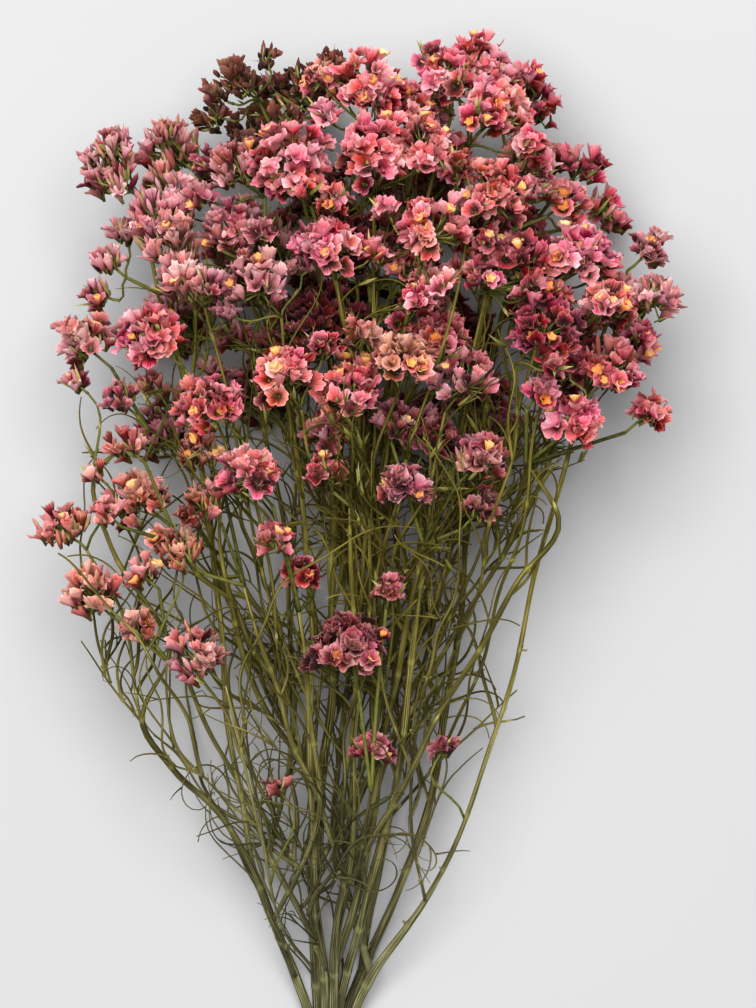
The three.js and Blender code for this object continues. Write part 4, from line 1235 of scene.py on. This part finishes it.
class Nodes:
    """A material's node tree, with short ways to add and join nodes."""

    def __init__(self, name):
        self.material = bpy.data.materials.new(name)
        self.material.use_nodes = True
        self.tree = self.material.node_tree
        self.tree.nodes.clear()

    def add(self, kind, settings=None, **inputs):
        """A new node. Inputs go by name, or by number as i0, i1 and so on."""
        node = self.tree.nodes.new(kind)
        for key, value in (settings or {}).items():
            setattr(node, key, value)
        for key, value in inputs.items():
            socket = node.inputs[int(key[1:]) if key[1:].isdigit() else key.replace("_", " ")]
            if isinstance(value, bpy.types.NodeSocket):
                self.tree.links.new(value, socket)
            else:
                socket.default_value = srgb(value) if isinstance(value, str) else value
        return node

    def own(self, *names):
        """What each point carries (see Gathered) and, as place, where it is."""
        for name in names:
            if name == "place":
                yield self.add("ShaderNodeNewGeometry").outputs["Position"]
            else:
                node = self.add("ShaderNodeAttribute", {"attribute_name": name})
                yield node.outputs["Vector" if name == "turn" else "Fac"]

    def ramp(self, value, *stops):
        node = self.add("ShaderNodeValToRGB", None, Fac=value)
        while len(node.color_ramp.elements) < len(stops):
            node.color_ramp.elements.new(0.5)
        for element, (at, colour) in zip(node.color_ramp.elements, stops):
            element.position, element.color = at, srgb(colour)
        return node.outputs["Color"]

    def grey(self, value, low, high, to_low=0.0, to_high=1.0):
        node = self.add("ShaderNodeMapRange", None, i0=value, i1=low, i2=high, i3=to_low, i4=to_high)
        return node.outputs[0]

    def math(self, operation, a, b=0.5):
        return self.add("ShaderNodeMath", {"operation": operation}, i0=a, i1=b).outputs[0]

    def total(self, *terms):
        """The sum of the terms, where a pair is a value and its weight."""
        terms = [self.math("MULTIPLY", *term) if isinstance(term, tuple) else term for term in terms]
        out = terms[0]
        for term in terms[1:]:
            out = self.math("ADD", out, term)
        return out

    def noise(self, vector, scale, detail=3.0, rough=0.55):
        return self.add("ShaderNodeTexNoise", None, Vector=vector, Scale=scale, Detail=detail,
                        Roughness=rough).outputs["Fac"]

    def mix(self, share, a, b):
        return self.add("ShaderNodeMix", {"data_type": "RGBA"}, i0=share, i6=a, i7=b).outputs[2]

    def altered(self, colour, hue, saturation, value=1.0):
        return self.add("ShaderNodeHueSaturation", None, Hue=hue, Saturation=saturation, Value=value,
                        Color=colour).outputs[0]

    def stretched(self, vector, *by):
        return self.add("ShaderNodeVectorMath", {"operation": "MULTIPLY"}, i0=vector, i1=by).outputs[0]

    def split(self, vector):
        return self.add("ShaderNodeSeparateXYZ", None, Vector=vector).outputs

    def finish(self, colour, roughness, height, strength, distance, sheen=0.0, glow=0.0):
        """The surface itself; glow is the share of light that comes through it."""
        bump = self.add("ShaderNodeBump", None, Strength=strength, Distance=distance,
                        Height=height).outputs[0]
        surface = self.add("ShaderNodeBsdfPrincipled", None, Base_Color=colour, Roughness=roughness,
                           Normal=bump, Sheen_Weight=sheen, Specular_IOR_Level=SPECULAR).outputs[0]
        if glow:
            through = self.add("ShaderNodeBsdfTranslucent", None, Color=colour, Normal=bump).outputs[0]
            surface = self.add("ShaderNodeMixShader", None, i0=glow, i1=surface, i2=through).outputs[0]
        self.add("ShaderNodeOutputMaterial", None, Surface=surface)
        return self.material


def paper(tone):
    """Dried, papery calyx: dark in the throat, partly its own colour and partly painted shade of the crevices
    between florets; fine pleats, paler and worn at its frilled rim.
    """
    throat, deep, middle, bright, rim = TONES[tone]
    n = Nodes(f"floret_{tone}")
    turn, reach, tint, place = n.own("turn", "reach", "tint", "place")
    patches, crepe = n.noise(place, 90.0, 2.0), n.noise(place, 900.0, 3.0)
    pleats = n.noise(n.stretched(turn, 7.0, 7.0, 1.0), 2.4, 4.0, 0.65)
    spot = n.split(place)
    crown = n.grey(spot["Y"], 0.07, 0.19, -0.04, 0.045)  # painted light: paler toward the crown and darker down the bunch, as if lit from above; also paler toward the sides
    sides = n.grey(n.math("ABSOLUTE", spot["X"]), 0.055, 0.1, 0.0, 0.07)
    # level climbs with reach, so the throat is darkest: partly the calyx's own colour, partly painted shade
    # deep between florets
    level = n.total((reach, 0.6), (n.grey(pleats, 0.32, 0.68), 0.34), -0.08,
                    (n.grey(tint, 0.0, 1.0, -0.5, 0.5), 0.46), (n.grey(patches, 0.3, 0.7, -0.5, 0.5), 0.3),
                    crown, sides)
    colour = n.ramp(level, (0.06, throat), (0.35, deep), (0.54, middle), (0.82, bright), (1.0, rim))
    tubes = n.ramp(reach, (0.0, "ffffff"), (0.2, "ffffff"), (0.38, "000000"))
    colour = n.mix(n.math("MULTIPLY", tubes, 0.8), colour, "5c4a26")
    edge = n.grey(reach, 0.86, 1.0, 0.0, 0.35)
    colour = n.mix(n.math("MULTIPLY", edge, n.grey(crepe, 0.35, 0.65)), colour, rim)
    hue = n.grey(n.noise(place, 60.0, 1.0), 0.35, 0.65, 0.488, 0.524)
    fade = n.grey(n.noise(place, 130.0, 1.0), 0.35, 0.65, 0.84, 1.12)
    return n.finish(n.altered(colour, hue, fade), n.grey(crepe, 0.3, 0.7, 0.62, 0.86),
                    n.total((pleats, 0.8), (crepe, 0.6)), 0.75, 0.0008, sheen=0.04, glow=0.18)


def wood_skin():
    """Dried green stem: lengthwise grooves, browner patches, and paler yellow-green at the joints."""
    n = Nodes("stem_green")
    turn, reach, tint, place = n.own("turn", "reach", "tint", "place")
    grooves = n.noise(n.stretched(turn, 3.0, 3.0, 0.035), 1.6, 3.0)
    patches, grain = n.noise(place, 38.0, 3.0), n.noise(place, 1400.0, 2.0)
    level = n.total((n.grey(grooves, 0.32, 0.68), 0.5), (n.grey(patches, 0.3, 0.7), 0.22),
                    n.grey(tint, 0.0, 1.0, 0.05, 0.2))
    colour = n.ramp(level, (0.1, "120f08"), (0.34, "3a3410"), (0.56, "6e662a"), (0.8, "b0a45c"),
                    (0.98, "dcd09a"))
    colour = n.mix(n.math("MULTIPLY", reach, 0.35), colour, "a8a450")
    colour = n.mix(n.grey(n.noise(place, 21.0, 2.0), 0.58, 0.75, 0.0, 0.55), colour, "5c4420")
    below = n.grey(n.split(place)["Y"], -0.1, 0.03, 1.0, 0.0)  # browner and duller toward the cut ends
    colour = n.mix(below, colour, n.altered(colour, 0.515, 0.66, 0.86))
    return n.finish(colour, n.grey(grain, 0.3, 0.7, 0.5, 0.72), n.total(grooves, (grain, 0.3)), 0.5, 0.0007)


def scale_skin():
    """Small dry scales and bracts: green at the foot, pinkish brown toward the tip."""
    n = Nodes("bract_green")
    reach, tint, place = n.own("reach", "tint", "place")
    grain = n.noise(place, 700.0, 3.0)
    level = n.total((reach, 0.5), (tint, 0.35), (n.grey(grain, 0.3, 0.7), 0.15))
    colour = n.ramp(level, (0.05, "3a3c16"), (0.32, "6c6c34"), (0.65, "a29a62"), (0.95, "b88474"))
    return n.finish(colour, 0.7, grain, 0.4, 0.0004)


def petal_yellow():
    """The small true flowers: orange in the throat and yellow at the tips."""
    n = Nodes("corolla_yellow")
    turn, reach, tint = n.own("turn", "reach", "tint")
    veins = n.noise(n.stretched(turn, 5.0, 5.0, 1.0), 2.0, 2.0)
    level = n.total((reach, 0.45), (veins, 0.25), (tint, 0.35))
    colour = n.ramp(level, (0.05, "dc7a3c"), (0.35, "ee9e54"), (0.65, "f5ba76"), (0.95, "fadcaa"))
    return n.finish(colour, 0.6, veins, 0.4, 0.0004, glow=0.2)


def table_skin():
    """The pale, even surface that the bunch lies on."""
    n = Nodes("pale_surface")
    place, = n.own("place")
    colour = n.ramp(n.noise(place, 3.0, 2.0), (0.3, "ababac"), (0.7, "afafb0"))
    return n.finish(colour, 0.6, n.noise(place, 900.0, 2.0), 0.05, 0.0002)


# ---------------------------------------------------------------- making the bunch

STALK_R = (0.72, 0.6)
LAST_BRANCH_R = 0.66
MAIN_MESH, BRANCH_MESH, TWIG_MESH = (4.5, 14, 7), (4.0, 7, 3), (3.0, 6)  # step, sides and ribs

sprays = make_sprays()
wood = grow_wood(sprays)
bend_clear(wood, sprays)
twigs = grow_twigs(wood, sprays)

rng = np.random.default_rng(20261)
templates = make_templates(rng)
papers = {tone: paper(tone) for tone in TONES}
bract_skin, yellow_skin, stem_skin = scale_skin(), petal_yellow(), wood_skin()

# Sprays: one joined piece for each, of its florets and the thin forks that carry them.
side_clusters(sprays, rng)
add_strays(sprays, wood)
heads = [head for spray in sprays for head in spray["heads"]]
heads += [small for spray in sprays for _, small in spray["beside"]]
for spray in sprays:
    name = spray["name"]
    gathered = Gathered()
    mix = group_of(MIX_OF, name, "open")
    for head in spray["heads"]:
        add_head(gathered, head, mix, templates, heads, rng, GAPS.get(name, USUAL_GAPS))
    for head, small in spray["beside"]:
        add_head(gathered, small, mix, templates, heads, rng)
        add_branchlet(gathered, head, small, rng)
    for run in spray["stalks"]:
        points = [wood[i]["p"].copy() for i in run]
        points[0] -= spray["axis"] * FORK_ROOT
        line, _ = evenly(rounded_line(points, LINE_SAMPLES), 2.4)
        add_tube(gathered, line, np.linspace(*STALK_R, len(line)), 6, rng.random())
    shade = papers[group_of(SHADE_OF, name, spray["tone"])]
    piece = gathered.mesh(f"spray_{name}_fine", [shade, bract_skin, yellow_skin])
    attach(piece, "root")
    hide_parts(f"spray_{spray['name']}")

# Stems: each with all its branches, bare twigs and thin sprigs.
stems = [Gathered() for _ in STEMS]
wood_lines = []
for spray in sprays:
    run = spray["branch"]
    number = wood[run[-1]]["owner"]
    places = np.array([wood[i]["p"] for i in run])
    line = rounded_line(places, LINE_SAMPLES)
    stop = SEAT_GAP + (FORK_ROOT + TWIG_R * 0.6 if len(spray["heads"]) > 1 else 0)
    line[-1] += unit(line[-2] - line[-1]) * min(stop, np.linalg.norm(line[-2] - line[-1]) * 0.9)
    radii = np.array([thickness(wood[i]) for i in run])
    main = wood[run[0]]["parent"] < 0
    if not main:
        radii[0] = min(radii[0], radii[1]) * 0.95
    radii[-1] = min(radii[-1], LAST_BRANCH_R)
    gone = gone_along(places)
    made = add_wood(stems[number], line, (gone / gone[-1], radii), rng, *(MAIN_MESH if main else BRANCH_MESH))
    wood_lines.append((number, *made))
for number, bare in enumerate(twigs):
    for twig in bare:
        line = rounded_line(twig, 10) if len(twig) > 2 else np.array(twig)
        made = add_wood(stems[number], line, ([0, 1], [STERILE_R, STERILE_R * 0.5]), rng, *TWIG_MESH)
        wood_lines.append((number, *made))
grow_bare_twigs(stems, wood_lines, Crowd([made for _, *made in wood_lines], heads), rng)

for gathered, (_, leader) in zip(stems, STEMS):
    piece = gathered.mesh(f"stem_to_{leader}_fine", [stem_skin, bract_skin])
    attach(piece, "root")
    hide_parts(f"stem_to_{leader}")

# ---------------------------------------------------------------- surface, light and camera

SURFACE_HALF = 3.0
AMBIENT = 0.31
LIGHT_AT, LIGHT_AIM, LIGHT_SIZE, LIGHT_POWER = (-0.14, 0.5, 1.85), (0.0, 0.05, 0.05), 1.5, 57.0
VIEW_MIDDLE = (0.0053, 0.0576)  # the middle of the picture, on the bunch
VIEW_LONG = 0.3427  # what the picture's height covers there
VIEW_HEIGHT = 0.06  # height of the plane it is measured in
CAMERA_UP = 1.6

scene = bpy.context.scene
scene.view_settings.view_transform = "Standard"
scene.view_settings.look = "Medium High Contrast"

surface = bpy.data.meshes.new("surface")
corners = [(-SURFACE_HALF, -SURFACE_HALF, 0), (SURFACE_HALF, -SURFACE_HALF, 0),
           (SURFACE_HALF, SURFACE_HALF, 0), (-SURFACE_HALF, SURFACE_HALF, 0)]
surface.from_pydata(corners, [], [(0, 1, 2, 3)])
surface.materials.append(table_skin())
add_object("surface", surface)

world = bpy.data.worlds.new("studio")
world.use_nodes = True
background = world.node_tree.nodes["Background"]
background.inputs["Color"].default_value = (1.0, 1.0, 1.0, 1.0)
background.inputs["Strength"].default_value = AMBIENT
scene.world = world

light_data = bpy.data.lights.new("soft_key", "AREA")
light_data.shape, light_data.size, light_data.energy = "DISK", LIGHT_SIZE, LIGHT_POWER
light = add_object("soft_key", light_data)
light.location = LIGHT_AT
light.rotation_euler = Matrix(turn_one(np.subtract(LIGHT_AT, LIGHT_AIM)).T.tolist()).to_euler()

camera_data = bpy.data.cameras.new("camera")
camera_data.sensor_fit = "VERTICAL"
camera_data.sensor_height = 24.0
camera_data.lens = camera_data.sensor_height * CAMERA_UP / VIEW_LONG
scene.camera = add_object("camera", camera_data)
scene.camera.location = (*VIEW_MIDDLE, VIEW_HEIGHT + CAMERA_UP)
